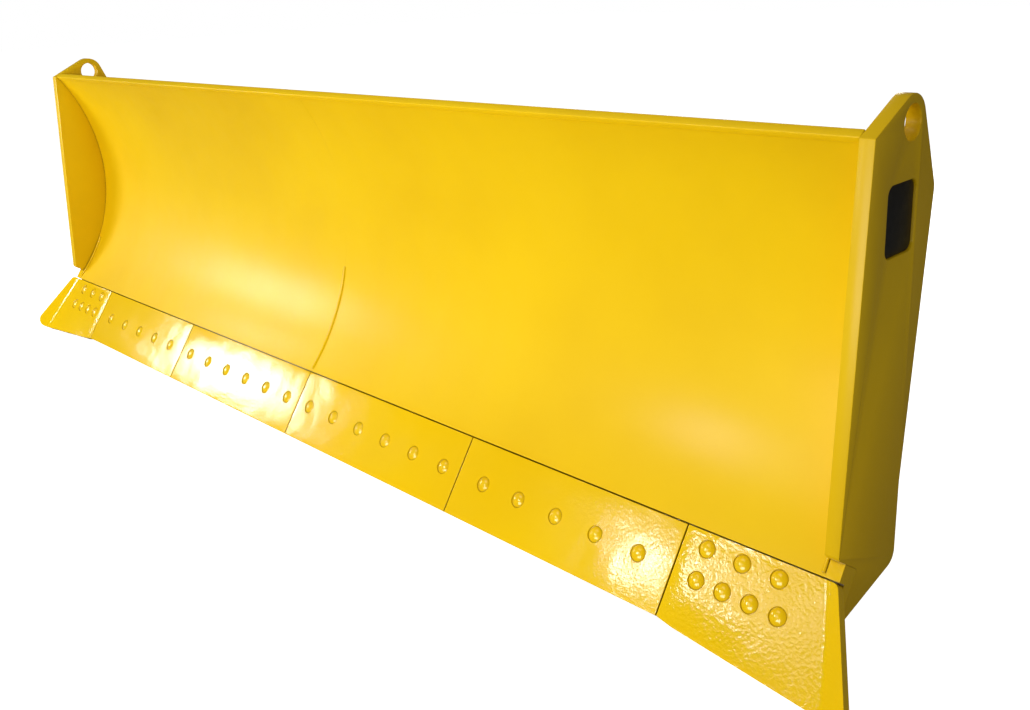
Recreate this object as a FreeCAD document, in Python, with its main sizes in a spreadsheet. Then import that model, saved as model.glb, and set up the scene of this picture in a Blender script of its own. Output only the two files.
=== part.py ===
import FreeCAD, Part
import math
import os
import Sketcher

# A straight dozer blade: a concave moldboard between two end plates, stiffened behind by two
# box beams and vertical ribs, with four bolt-on cutting edges and two bolt-on end bits along
# its lower edge. Millimetres, X along the blade, -Y towards the material being pushed, +Z up.
#
# Every piece is drawn about the toe line, where the moldboard's lower edge meets the cutting
# edges. A second sheet, Place, holds how far the toe line lies behind the origin and above
# the ground.

doc = FreeCAD.newDocument("dozer_blade")
sheet = doc.addObject("Spreadsheet::Sheet", "Dims")

DIMENSIONS = [
    # the moldboard and its end plates
    ("blade_width", 4364.0), ("plate_thick", 38.0), ("chord_height", 1036.0),
    ("chord_lean", 3.4), ("moldboard_radius", 805.0), ("moldboard_thick", 16.0),
    ("rim_height", 20.0), ("rim_proud", 3.0), ("rim_behind", 8.0),
    ("seam_width", 12.0), ("seam_proud", 3.0), ("seam_arc", 30.0),
    # end plate outline: depths behind the moldboard's deepest line, heights from its top
    ("plate_lead", 8.0), ("plate_top_drop", 2.2), ("plate_foot_front", 42.0),
    ("eye_behind", 22.2), ("eye_rise", 11.8), ("eye_bore", 83.0), ("eye_round", 64.0),
    ("back_top_behind", 159.2), ("back_top_drop", 150.2), ("waist_behind", 81.2),
    ("waist_height", 150.0), ("heel_drop", 69.0), ("keel_slope", 11.6),
    ("corner_round", 38.0), ("front_round", 16.0),
    # blank badge let into each end plate's outer face
    ("badge_ahead", 6.8), ("badge_drop", 200.2), ("badge_wide", 140.0),
    ("badge_tall", 168.0), ("badge_deep", 12.0), ("badge_thick", 5.0),
    ("badge_gap", 2.0), ("badge_round", 24.0),
    # cutting edges and end bits, measured down the leaning edge face and from the blade's end
    ("edge_lean", 35.0), ("edge_thick", 30.0), ("edge_height", 250.0), ("edge_gap", 1.65),
    ("joint_gap", 3.0), ("edge_bevel", 12.0), ("edge_round", 2.5), ("edge_end_margin", 114.3),
    ("bit_long", 429.4), ("bit_inner_hang", 8.0), ("bit_outer_hang", 52.0),
    ("bit_inner_cut", 48.0), ("bit_top_out", 4.0), ("bit_low_out", 136.0),
    ("bend_top_in", 28.0), ("bend_low_out", 62.0), ("wing_angle", 28.0),
    ("bend_round", 40.0), ("bit_top_round", 22.0), ("bit_low_round", 34.0),
    # plow bolts
    ("bolt_pitch", 152.4), ("bolt_row", 126.0), ("bit_low_row", 129.5),
    ("bit_low_pitch", 79.0), ("bit_high_row", 45.5), ("bit_high_pitch", 105.0),
    ("bit_bolt_inset", 76.2), ("bolt_size", 25.4), ("head_flange", 10.3), ("head_gap", 2.0),
    ("sink_deep", 13.0), ("sink_angle", 34.7), ("head_dome", 4.5), ("neck_flange", 0.3),
    ("neck_short", 3.0), ("neck_gap", 0.5), ("bolt_end_proud", 8.0), ("shank_gap", 1.55),
    ("washer_flange", 12.3), ("washer_thick", 5.0), ("nut_wall", 7.95), ("nut_thick", 25.0),
    ("thread_gap", 0.1),
    # edge seat behind the cutting edges
    ("seat_thick", 40.0), ("seat_rise", 45.0), ("seat_drop", 180.0),
    # box beams and ribs, behind the moldboard's deepest line
    ("box_sheet", 16.0), ("low_box_behind", 66.2), ("low_floor_drop", 60.0),
    ("low_roof_height", 300.0), ("well_reach", 170.0), ("high_box_behind", 129.2),
    ("high_box_drop", 94.2), ("high_box_tall", 180.0), ("roof_slope", 15.6),
    ("roof_reach", 280.0), ("rib_thick", 20.0), ("rib_setback", 10.0), ("web_thick", 16.0),
    # push-arm clevises low down and brace clevises high up
    ("arm_x", 1300.0), ("arm_pin_reach", 141.0), ("arm_pin_drop", 10.0), ("arm_bore", 80.0),
    ("arm_bush_wall", 14.0), ("arm_ear_thick", 50.0), ("arm_gap", 120.0),
    ("arm_nose", 95.0), ("arm_top_height", 250.0), ("arm_top_long", 70.0),
    ("brace_x", 720.0), ("brace_pin_reach", 84.0), ("brace_pin_rise", 86.0),
    ("brace_bore", 64.0), ("brace_ear_thick", 40.0), ("brace_gap", 100.0),
    ("brace_nose", 64.0),
]
for row, (alias, number) in enumerate(DIMENSIONS, start=1):
    sheet.set("A%d" % row, alias)
    sheet.set("B%d" % row, repr(number))
    sheet.setAlias("B%d" % row, alias)
place = doc.addObject("Spreadsheet::Sheet", "Place")
for row, alias in enumerate(("toe_back", "toe_height"), start=1):
    place.set("A%d" % row, alias)
    place.set("B%d" % row, "0")
    place.setAlias("B%d" % row, alias)
doc.recompute()

CENTRE_EDGE_BOLTS = 6
OUTER_EDGE_BOLTS = 5
BIT_LOW_BOLTS = 4
BIT_HIGH_BOLTS = 3
RIBS = 6
SIDES = (("left", -1), ("right", 1))

# Lengths and places worked out from the sheet, as expressions.
HALF_IN = "(Dims.blade_width / 2 - Dims.plate_thick)"
HALF_ARC = "asin(Dims.chord_height / 2 / Dims.moldboard_radius)"
CHORD_LEAN = "(Dims.chord_lean * 1 deg)"
LEAN = "(Dims.edge_lean * 1 deg)"
SAG = "(Dims.moldboard_radius * cos(%s))" % HALF_ARC
ARC_Y = "(Dims.chord_height / 2 * sin({0}) - {1} * cos({0}))".format(CHORD_LEAN, SAG)
ARC_Z = "(Dims.chord_height / 2 * cos({0}) + {1} * sin({0}))".format(CHORD_LEAN, SAG)
BACK_RADIUS = "(Dims.moldboard_radius + Dims.moldboard_thick)"
TOE_Y = "Place.toe_back"
TOE_Z = "Place.toe_height"
KEEL = "(Dims.keel_slope * 1 deg)"
SEAT_BACK = "(Dims.edge_thick + Dims.seat_thick)"
DEEPEST = "({0} - {1} + Dims.moldboard_thick)".format("Dims.moldboard_radius", SAG)
MOLD_TOP = "(Dims.chord_height * cos(%s))" % CHORD_LEAN
PLATE_TOP = "(%s - Dims.plate_top_drop)" % MOLD_TOP
EYE = ("(%s + Dims.eye_behind)" % DEEPEST, "(%s + Dims.eye_rise)" % MOLD_TOP)
BACK_TOP = ("(%s + Dims.back_top_behind)" % DEEPEST, "(%s - Dims.back_top_drop)" % MOLD_TOP)
WAIST_Y = "(%s + Dims.waist_behind)" % DEEPEST
BADGE = ("(%s - Dims.badge_ahead)" % DEEPEST, "(%s - Dims.badge_drop)" % MOLD_TOP)
LOW_BACK = "(%s + Dims.low_box_behind)" % DEEPEST
LOW_BACK_IN = "(%s - Dims.box_sheet)" % LOW_BACK
LOW_FLOOR = "(-Dims.low_floor_drop)"
LOW_FLOOR_TOP = "(%s + Dims.box_sheet)" % LOW_FLOOR
LOW_ROOF_UNDER = "(Dims.low_roof_height - Dims.box_sheet)"
WELL_AHEAD = "(%s - Dims.well_reach)" % LOW_BACK
HIGH_BACK = "(%s + Dims.high_box_behind)" % DEEPEST
HIGH_BACK_IN = "(%s - Dims.box_sheet)" % HIGH_BACK
HIGH_ROOF = "(%s - Dims.high_box_drop)" % MOLD_TOP
HIGH_FLOOR = "(%s - Dims.high_box_tall)" % HIGH_ROOF
HIGH_FLOOR_TOP = "(%s + Dims.box_sheet)" % HIGH_FLOOR
ROOF_AHEAD = "(%s - Dims.roof_reach)" % HIGH_BACK
ARM_PIN = ("(%s + Dims.arm_pin_reach)" % LOW_BACK, "(-Dims.arm_pin_drop)")
BRACE_PIN = ("(%s + Dims.brace_pin_reach)" % HIGH_BACK,
             "(%s + Dims.brace_pin_rise)" % HIGH_FLOOR)
CENTRE_LONG = "(%d * Dims.bolt_pitch)" % CENTRE_EDGE_BOLTS
EDGE_END = "(Dims.blade_width / 2 - Dims.bit_long)"
OUTER_PITCH = "((%s - %s - 2 * Dims.edge_end_margin) / %d)" % (
    EDGE_END, CENTRE_LONG, OUTER_EDGE_BOLTS - 1)
# how far down the edge face the moldboard's lower end reaches
SHEET_DROP = "(Dims.moldboard_thick * sin(%s + %s - %s))" % (HALF_ARC, CHORD_LEAN, LEAN)
EDGE_TOP = "((%s + abs(%s)) / 2 + Dims.edge_gap)" % (SHEET_DROP, SHEET_DROP)
EDGE_FOOT = "(%s + Dims.edge_height)" % EDGE_TOP
BIT_DROP = "(%s + Dims.bit_outer_hang)" % EDGE_FOOT
BIT_TOP_X = "(Dims.blade_width / 2 + Dims.bit_top_out)"
BIT_LOW_X = "(Dims.blade_width / 2 + Dims.bit_low_out)"
BEND_TOP_X = "(Dims.blade_width / 2 - Dims.bend_top_in)"
BEND_SPREAD = "(Dims.bend_top_in + Dims.bend_low_out)"
HEAD_RADIUS = "(Dims.bolt_size / 2 + Dims.head_flange)"
SINK_RADIUS = "(%s + Dims.head_gap)" % HEAD_RADIUS
NECK_HALF = "(Dims.bolt_size / 2 + Dims.neck_flange)"
NECK_END = "(Dims.edge_thick - Dims.neck_short)"


def value(expression):
    """The number that an expression on the sheet comes to."""
    result = sheet.evalExpression(expression)
    return float(getattr(result, "Value", result))


def behind(depth, drop):
    """Side-view (y, z) of a point `depth` behind and `drop` down the leaning edge face."""
    y = "(({0}) * cos({2}) - ({1}) * sin({2}))".format(depth, drop, LEAN)
    z = "(-({0}) * sin({2}) - ({1}) * cos({2}))".format(depth, drop, LEAN)
    return y, z


# ---------------------------------------------------------------- sketch and feature helpers

def new_body(name):
    """A body placed at the toe line, upright."""
    body = doc.addObject("PartDesign::Body", name)
    body.Label = name
    body.AllowCompound = True
    body.setExpression("Placement.Base.y", TOE_Y + " * 1 mm")
    body.setExpression("Placement.Base.z", TOE_Z + " * 1 mm")
    return body


def new_edge_body(name):
    """A body laid back with the edge face: X along the blade, Y into it, Z up the face."""
    body = new_body(name)
    body.Placement.Rotation = FreeCAD.Rotation(FreeCAD.Vector(-1, 0, 0), value("Dims.edge_lean"))
    body.setExpression("Placement.Rotation.Angle", "Dims.edge_lean * 1 deg")
    return body


def new_sketch(body, name, role):
    """A sketch on one of the body's own origin planes."""
    plane = next(item for item in body.Origin.OriginFeatures if item.Role == role)
    sketch = body.newObject("Sketcher::SketchObject", body.Name + "_" + name)
    sketch.AttachmentSupport = [(plane, "")]
    sketch.MapMode = "FlatFace"
    return sketch


def pin_point(sketch, geometry, vertex, across, up):
    """Hold a point of the sketch at a place given by two expressions."""
    for kind, expression in (("DistanceX", across), ("DistanceY", up)):
        number = value(expression)
        index = sketch.addConstraint(
            Sketcher.Constraint(kind, -1, 1, geometry, vertex, number))
        sketch.setExpression("Constraints[%d]" % index, expression)


def draw_outline(sketch, points):
    """A closed outline of straight lines through points given as expression pairs."""
    places = [FreeCAD.Vector(value(across), value(up), 0) for across, up in points]
    first = sketch.GeometryCount
    count = len(places)
    for index in range(count):
        line = Part.LineSegment(places[index], places[(index + 1) % count])
        sketch.addGeometry(line, False)
    for index in range(count):
        following = first + (index + 1) % count
        sketch.addConstraint(
            Sketcher.Constraint("Coincident", first + index, 2, following, 1))
        pin_point(sketch, first + index, 1, points[index][0], points[index][1])


def draw_box(sketch, low_across, low_up, high_across, high_up):
    """An upright rectangle between two corners given as expressions."""
    draw_outline(sketch, [(low_across, low_up), (high_across, low_up),
                          (high_across, high_up), (low_across, high_up)])


def draw_circle(sketch, across, up, radius):
    """A circle whose centre and radius are expressions."""
    centre = FreeCAD.Vector(value(across), value(up), 0)
    circle = Part.Circle(centre, FreeCAD.Vector(0, 0, 1), value(radius))
    index = sketch.addGeometry(circle, False)
    pin_point(sketch, index, 3, across, up)
    size = sketch.addConstraint(Sketcher.Constraint("Radius", index, value(radius)))
    sketch.setExpression("Constraints[%d]" % size, radius)


def pad(body, sketch, length, reverse=False, centred=False):
    """Pad a sketch by a length given as an expression."""
    feature = body.newObject("PartDesign::Pad", sketch.Name + "_pad")
    feature.Profile = sketch
    feature.Reversed = reverse
    feature.Midplane = centred
    feature.setExpression("Length", length)
    doc.recompute()
    return feature


def pocket(body, sketch, length=None, reverse=False, centred=True, taper=None):
    """Cut a sketch out of the body, right through or to a depth, and check that it cut."""
    doc.recompute()
    before = body.Shape.Volume
    feature = body.newObject("PartDesign::Pocket", sketch.Name + "_cut")
    feature.Profile = sketch
    feature.Reversed = reverse
    feature.Midplane = centred
    if length is None:
        feature.Type = "ThroughAll"
    else:
        feature.setExpression("Length", length)
    if taper is not None:
        feature.setExpression("TaperAngle", taper)
    doc.recompute()
    if not body.Shape.Volume < before:
        raise RuntimeError(feature.Name + " removed nothing")
    return feature


def revolve(body, sketch, axis, angle):
    """Turn a sketch about an axis by an angle given as an expression."""
    feature = body.newObject("PartDesign::Revolution", sketch.Name + "_turn")
    feature.Profile = sketch
    feature.ReferenceAxis = axis
    feature.setExpression("Angle", angle)
    doc.recompute()
    return feature


def round_edges(body, names, radius):
    """Fillet the named edges of the body's newest feature."""
    base = body.Tip
    feature = body.newObject("PartDesign::Fillet", body.Name + "_round_%d" % len(body.Group))
    feature.Base = (base, names)
    feature.setExpression("Radius", radius)
    doc.recompute()


def edges_along(body, direction, across, up, tolerance=1.0):
    """Names of straight edges along `direction` that pass through a side-on point.

    The point is given by the two coordinates left over when `direction` is dropped."""
    tip = body.Tip.Shape
    keep = [axis for axis in range(3) if axis != direction]
    names = []
    for number, edge in enumerate(tip.Edges, start=1):
        start, end = edge.Vertexes[0].Point, edge.Vertexes[-1].Point
        near = all(
            abs(point[keep[0]] - across) < tolerance and abs(point[keep[1]] - up) < tolerance
            for point in (start, end))
        if near and abs(start[direction] - end[direction]) > tolerance:
            names.append("Edge%d" % number)
    return names


def cut_back_to_moldboard(body):
    """Trim the body to the moldboard's back face."""
    sketch = new_sketch(body, "moldboard_back", "YZ_Plane")
    draw_circle(sketch, ARC_Y, ARC_Z, BACK_RADIUS)
    pocket(body, sketch)


# ---------------------------------------------------------------- moldboard

def rolled_piece(name, inner, outer, start, end, skip, sweep):
    """A strip rolled about the moldboard's axis.

    It lies between two radii and two X positions, and runs through `sweep` degrees after
    missing out the first `skip` degrees above the toe line."""
    body = doc.addObject("PartDesign::Body", name)
    body.Label = name
    first = "(%s + %s - (%s))" % (CHORD_LEAN, HALF_ARC, skip)
    body.Placement.Rotation = FreeCAD.Rotation(FreeCAD.Vector(-1, 0, 0), value(first))
    body.setExpression("Placement.Base.y", "(%s + %s) * 1 mm" % (TOE_Y, ARC_Y))
    body.setExpression("Placement.Base.z", "(%s + %s) * 1 mm" % (TOE_Z, ARC_Z))
    body.setExpression("Placement.Rotation.Angle", first)
    sketch = new_sketch(body, "section", "XY_Plane")
    draw_box(sketch, start, inner, end, outer)
    axis = next(item for item in body.Origin.OriginFeatures if item.Role == "X_Axis")
    revolve(body, sketch, (axis, [""]), sweep)
    return body


RIM_ARC = "(Dims.rim_height / Dims.moldboard_radius * 1 rad)"
SHEET_ARC = "(2 * %s - %s)" % (HALF_ARC, RIM_ARC)
FACE_RADIUS = "Dims.moldboard_radius"


def make_moldboard():
    rolled_piece("moldboard_left", FACE_RADIUS, BACK_RADIUS, "-" + HALF_IN, "0",
                 "0 deg", SHEET_ARC)
    rolled_piece("moldboard_right", FACE_RADIUS, BACK_RADIUS, "0", HALF_IN,
                 "0 deg", SHEET_ARC)
    rolled_piece("moldboard_top_rim", FACE_RADIUS + " - Dims.rim_proud",
                 BACK_RADIUS + " + Dims.rim_behind", "-" + HALF_IN, HALF_IN,
                 SHEET_ARC, RIM_ARC)
    rolled_piece("moldboard_seam_weld", FACE_RADIUS + " - Dims.seam_proud", FACE_RADIUS,
                 "-Dims.seam_width / 2", "Dims.seam_width / 2",
                 "0 deg", "Dims.seam_arc * 1 deg")


# ---------------------------------------------------------------- end plates and badges

def front_line(up):
    """Y of the end plate's straight front edge at a height above the toe line."""
    return "((%s) * tan(%s) - Dims.plate_lead)" % (up, CHORD_LEAN)


def end_plate_outline():
    """The end plate's outline in side view, starting at the lower front corner."""
    front_top = (front_line(PLATE_TOP), PLATE_TOP)
    run = "(%s - %s)" % (EYE[0], front_top[0])
    rise = "(%s - %s)" % (EYE[1], PLATE_TOP)
    slope = "(atan({1} / {0}) + asin(Dims.eye_round / hypot({0}; {1})))".format(run, rise)
    slant_run = "(%s - %s)" % (BACK_TOP[0], EYE[0])
    slant_rise = "(%s - %s)" % (EYE[1], BACK_TOP[1])
    slant = "(atan({1} / {0}) + asin(Dims.eye_round / hypot({0}; {1})))".format(
        slant_run, slant_rise)
    # the ear's peak is where the front slope and the back slant meet
    span = "(%s - %s)" % (BACK_TOP[0], front_top[0])
    drop = "(%s - %s)" % (PLATE_TOP, BACK_TOP[1])
    reach = "(({0} * sin({2}) - {1} * cos({2})) / sin({2} + {3}))".format(
        span, drop, slant, slope)
    peak = ("({0} + {1} * cos({2}))".format(front_top[0], reach, slope),
            "({0} + {1} * sin({2}))".format(PLATE_TOP, reach, slope))
    foot_front = behind("-Dims.plate_foot_front", "-Dims.seat_rise")
    foot_back = behind(SEAT_BACK, "-Dims.seat_rise")
    heel = (WAIST_Y, "(-Dims.heel_drop)")
    # the keel runs forward and down from the heel until it meets the edge seat's back
    fall = "(({0} - {2}) * tan({1}) - Dims.heel_drop)".format(
        behind(SEAT_BACK, "0")[0], KEEL, WAIST_Y)
    keel_drop = "(({0} - {1}) / (cos({2}) - sin({2}) * tan({3})))".format(
        behind(SEAT_BACK, "0")[1], fall, LEAN, KEEL)
    keel_front = behind(SEAT_BACK, keel_drop)
    return [foot_front, front_top, peak, BACK_TOP, (WAIST_Y, "Dims.waist_height"), heel,
            keel_front, foot_back]


def make_end_plate(side, sign):
    body = new_body("end_plate_" + side)
    body.setExpression("Placement.Base.x", "%d * %s * 1 mm" % (sign, HALF_IN))
    outline = end_plate_outline()
    sketch = new_sketch(body, "outline", "YZ_Plane")
    draw_outline(sketch, outline)
    pad(body, sketch, "Dims.plate_thick", reverse=sign < 0)
    roundings = ((2, "Dims.eye_round"), (3, "Dims.corner_round"), (5, "Dims.corner_round"),
                 (0, "Dims.front_round"))
    for corner, radius in roundings:
        across, up = outline[corner]
        round_edges(body, edges_along(body, 0, value(across), value(up)), radius)
    eye = new_sketch(body, "lifting_eye", "YZ_Plane")
    draw_circle(eye, EYE[0], EYE[1], "Dims.eye_bore / 2")
    pocket(body, eye)
    window = new_sketch(body, "badge_recess", "YZ_Plane")
    window.AttachmentOffset = FreeCAD.Placement(
        FreeCAD.Vector(0, 0, sign * value("Dims.plate_thick")), FreeCAD.Rotation())
    window.setExpression("AttachmentOffset.Base.z", "%d * Dims.plate_thick * 1 mm" % sign)
    low_y = "(%s - Dims.badge_wide / 2)" % BADGE[0]
    high_y = "(%s + Dims.badge_wide / 2)" % BADGE[0]
    low_z = "(%s - Dims.badge_tall / 2)" % BADGE[1]
    high_z = "(%s + Dims.badge_tall / 2)" % BADGE[1]
    draw_box(window, low_y, low_z, high_y, high_z)
    pocket(body, window, "Dims.badge_deep", reverse=sign < 0, centred=False)
    corners = []
    for across in (low_y, high_y):
        for up in (low_z, high_z):
            corners += edges_along(body, 0, value(across), value(up))
    round_edges(body, corners, "Dims.badge_round")


def make_badge(side, sign):
    """A blank plate lying in the recess, with a gap all round."""
    body = new_body("badge_plate_" + side)
    body.setExpression("Placement.Base.x",
                       "%d * (Dims.blade_width / 2 - Dims.badge_deep) * 1 mm" % sign)
    sketch = new_sketch(body, "outline", "YZ_Plane")
    half_wide = "(Dims.badge_wide / 2 - Dims.badge_gap)"
    half_tall = "(Dims.badge_tall / 2 - Dims.badge_gap)"
    low = ("(%s - %s)" % (BADGE[0], half_wide), "(%s - %s)" % (BADGE[1], half_tall))
    high = ("(%s + %s)" % (BADGE[0], half_wide), "(%s + %s)" % (BADGE[1], half_tall))
    draw_box(sketch, low[0], low[1], high[0], high[1])
    pad(body, sketch, "Dims.badge_thick", reverse=sign < 0)
    corners = []
    for across in (low[0], high[0]):
        for up in (low[1], high[1]):
            corners += edges_along(body, 0, value(across), value(up))
    round_edges(body, corners, "Dims.badge_round - Dims.badge_gap")


# ---------------------------------------------------------------- wear parts and their bolts

def edge_rows(name):
    """Bolt rows of one wear part: first X from the blade's middle, drop, pitch and count."""
    if name.startswith("centre"):
        return [("Dims.bolt_pitch / 2", "Dims.bolt_row", "Dims.bolt_pitch",
                 CENTRE_EDGE_BOLTS)]
    if name.startswith("outer"):
        return [("(%s + Dims.edge_end_margin)" % CENTRE_LONG, "Dims.bolt_row",
                 OUTER_PITCH, OUTER_EDGE_BOLTS)]
    first = "(%s + Dims.bit_bolt_inset)" % EDGE_END
    return [(first, "Dims.bit_low_row", "Dims.bit_low_pitch", BIT_LOW_BOLTS),
            (first, "Dims.bit_high_row", "Dims.bit_high_pitch", BIT_HIGH_BOLTS)]


def repeat_row(body, tag, originals, pitch, count, sign):
    """Repeat features along the blade, away from its middle."""
    pattern = body.newObject("PartDesign::LinearPattern", body.Name + "_" + tag + "_row")
    pattern.Originals = originals
    axis = next(item for item in body.Origin.OriginFeatures if item.Role == "X_Axis")
    pattern.Direction = (axis, [""])
    pattern.Reversed = sign < 0
    pattern.Occurrences = count
    pattern.setExpression("Length", "(%d * %s) * 1 mm" % (count - 1, pitch))
    body.Tip = pattern
    doc.recompute()


def draw_square(sketch, across, up, half):
    draw_box(sketch, "%s - %s" % (across, half), "%s - %s" % (up, half),
             "%s + %s" % (across, half), "%s + %s" % (up, half))


def cut_bolt_holes(body, rows, sign):
    """Square holes with a conical sink on the front face, for plow bolts."""
    for number, (first, drop, pitch, count) in enumerate(rows):
        across = "%d * %s" % (sign, first)
        up = "-" + drop
        square = new_sketch(body, "square_%d" % number, "XZ_Plane")
        draw_square(square, across, up, "(%s + Dims.neck_gap)" % NECK_HALF)
        hole = pocket(body, square)
        circle = new_sketch(body, "sink_%d" % number, "XZ_Plane")
        draw_circle(circle, across, up, SINK_RADIUS)
        sink = pocket(body, circle, "Dims.sink_deep", centred=False,
                      taper="-Dims.sink_angle * 1 deg")
        repeat_row(body, "holes_%d" % number, [hole, sink], pitch, count, sign)


def soften_front(body):
    """Round the front face's outline slightly, leaving the bolt sinks sharp."""
    names = []
    for number, edge in enumerate(body.Tip.Shape.Edges, start=1):
        flat = all(abs(vertex.Point.y) < 0.01 for vertex in edge.Vertexes)
        if flat and len(edge.Vertexes) == 2 and edge.Length > 60:
            names.append("Edge%d" % number)
    round_edges(body, names, "Dims.edge_round")


def make_cutting_edge(name, kind, sign):
    """A flat edge, bevelled along its lower back edge."""
    body = new_edge_body(name)
    start = "0" if kind == "centre" else CENTRE_LONG
    end = CENTRE_LONG if kind == "centre" else EDGE_END
    near = "%d * (%s + Dims.joint_gap / 2)" % (sign, start)
    far = "%d * (%s - Dims.joint_gap / 2)" % (sign, end)
    sketch = new_sketch(body, "face", "XZ_Plane")
    low = "-" + EDGE_FOOT
    draw_box(sketch, near, low, far, "-" + EDGE_TOP)
    pad(body, sketch, "Dims.edge_thick", reverse=True)
    blank = body.Tip
    heel = edges_along(body, 0, value("Dims.edge_thick"), value(low))
    bevel = body.newObject("PartDesign::Chamfer", name + "_bevel")
    bevel.Base = (blank, heel)
    bevel.setExpression("Size", "Dims.edge_bevel")
    doc.recompute()
    soften_front(body)
    cut_bolt_holes(body, edge_rows(kind), sign)


def make_end_bit(side, sign):
    """An end bit: a flat leg on the edge seat and a wing bent forward at its outer end."""
    name = "end_bit_" + side
    body = new_edge_body(name)
    sketch = new_sketch(body, "bent_section", "XY_Plane")
    wing = "(Dims.wing_angle * 1 deg)"
    reach = "(%s - %s + 60)" % (BIT_LOW_X, BEND_TOP_X)
    back_bend = "(Dims.edge_thick * tan(%s / 2))" % wing
    points = [
        (EDGE_END + " - 200", "0"), (BEND_TOP_X, "0"),
        (BEND_TOP_X + " + " + reach, "-%s * tan(%s)" % (reach, wing)),
        (BEND_TOP_X + " + {0} + Dims.edge_thick * sin({1})".format(reach, wing),
         "-{0} * tan({1}) + Dims.edge_thick * cos({1})".format(reach, wing)),
        (BEND_TOP_X + " + " + back_bend, "Dims.edge_thick"),
        (EDGE_END + " - 200", "Dims.edge_thick")]
    draw_outline(sketch, [("%d * (%s)" % (sign, across), up) for across, up in points])
    shear = "%d * %s / %s" % (sign, BEND_SPREAD, BIT_DROP)
    feature = body.newObject("PartDesign::Pad", name + "_bent")
    feature.Profile = sketch
    feature.UseCustomVector = True
    feature.Direction = FreeCAD.Vector(value(shear), 0, -1)
    feature.setExpression("Direction.x", shear)
    feature.AlongSketchNormal = True
    feature.setExpression("Length", BIT_DROP + " + 60")
    doc.recompute()
    bends = []
    for number, edge in enumerate(body.Tip.Shape.Edges, start=1):
        tall = edge.BoundBox.ZLength > 100
        middle = edge.BoundBox.Center.y
        at_bend = abs(middle) < 0.5 or abs(middle - value("Dims.edge_thick")) < 0.5
        outward = sign * edge.BoundBox.Center.x > value(EDGE_END)
        if tall and at_bend and outward:
            bends.append("Edge%d" % number)
    round_edges(body, bends, "Dims.bend_round")

    inner = "(%s + Dims.joint_gap / 2)" % EDGE_END
    outline = [
        (inner, "-" + EDGE_TOP),
        (BIT_TOP_X, "-" + EDGE_TOP),
        (BIT_LOW_X, "-" + BIT_DROP),
        (inner + " + Dims.bit_inner_cut", "-(%s + Dims.bit_inner_hang)" % EDGE_FOOT),
        (inner, "-" + EDGE_FOOT)]
    outline = [("%d * (%s)" % (sign, across), up) for across, up in outline]
    trim = new_sketch(body, "front_outline", "XZ_Plane")
    draw_outline(trim, outline)
    draw_box(trim, "%d * (%s - 400)" % (sign, EDGE_END), "-%s - 200" % BIT_DROP,
             "%d * (%s + 400)" % (sign, BIT_LOW_X), "200")
    pocket(body, trim)
    for corner, radius in ((1, "Dims.bit_top_round"), (2, "Dims.bit_low_round")):
        across, up = outline[corner]
        names = edges_along(body, 1, value(across), value(up))
        round_edges(body, names, radius)
    cut_bolt_holes(body, edge_rows("bit"), sign)


BOLT_LENGTH = ("(Dims.edge_thick + Dims.seat_thick + Dims.washer_thick + Dims.nut_thick"
               " + Dims.bolt_end_proud)")
HEAD_RIM = "(Dims.head_gap / tan(Dims.sink_angle * 1 deg))"
SINK_FLOOR = "(%s - Dims.sink_deep * tan(Dims.sink_angle * 1 deg))" % SINK_RADIUS


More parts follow.
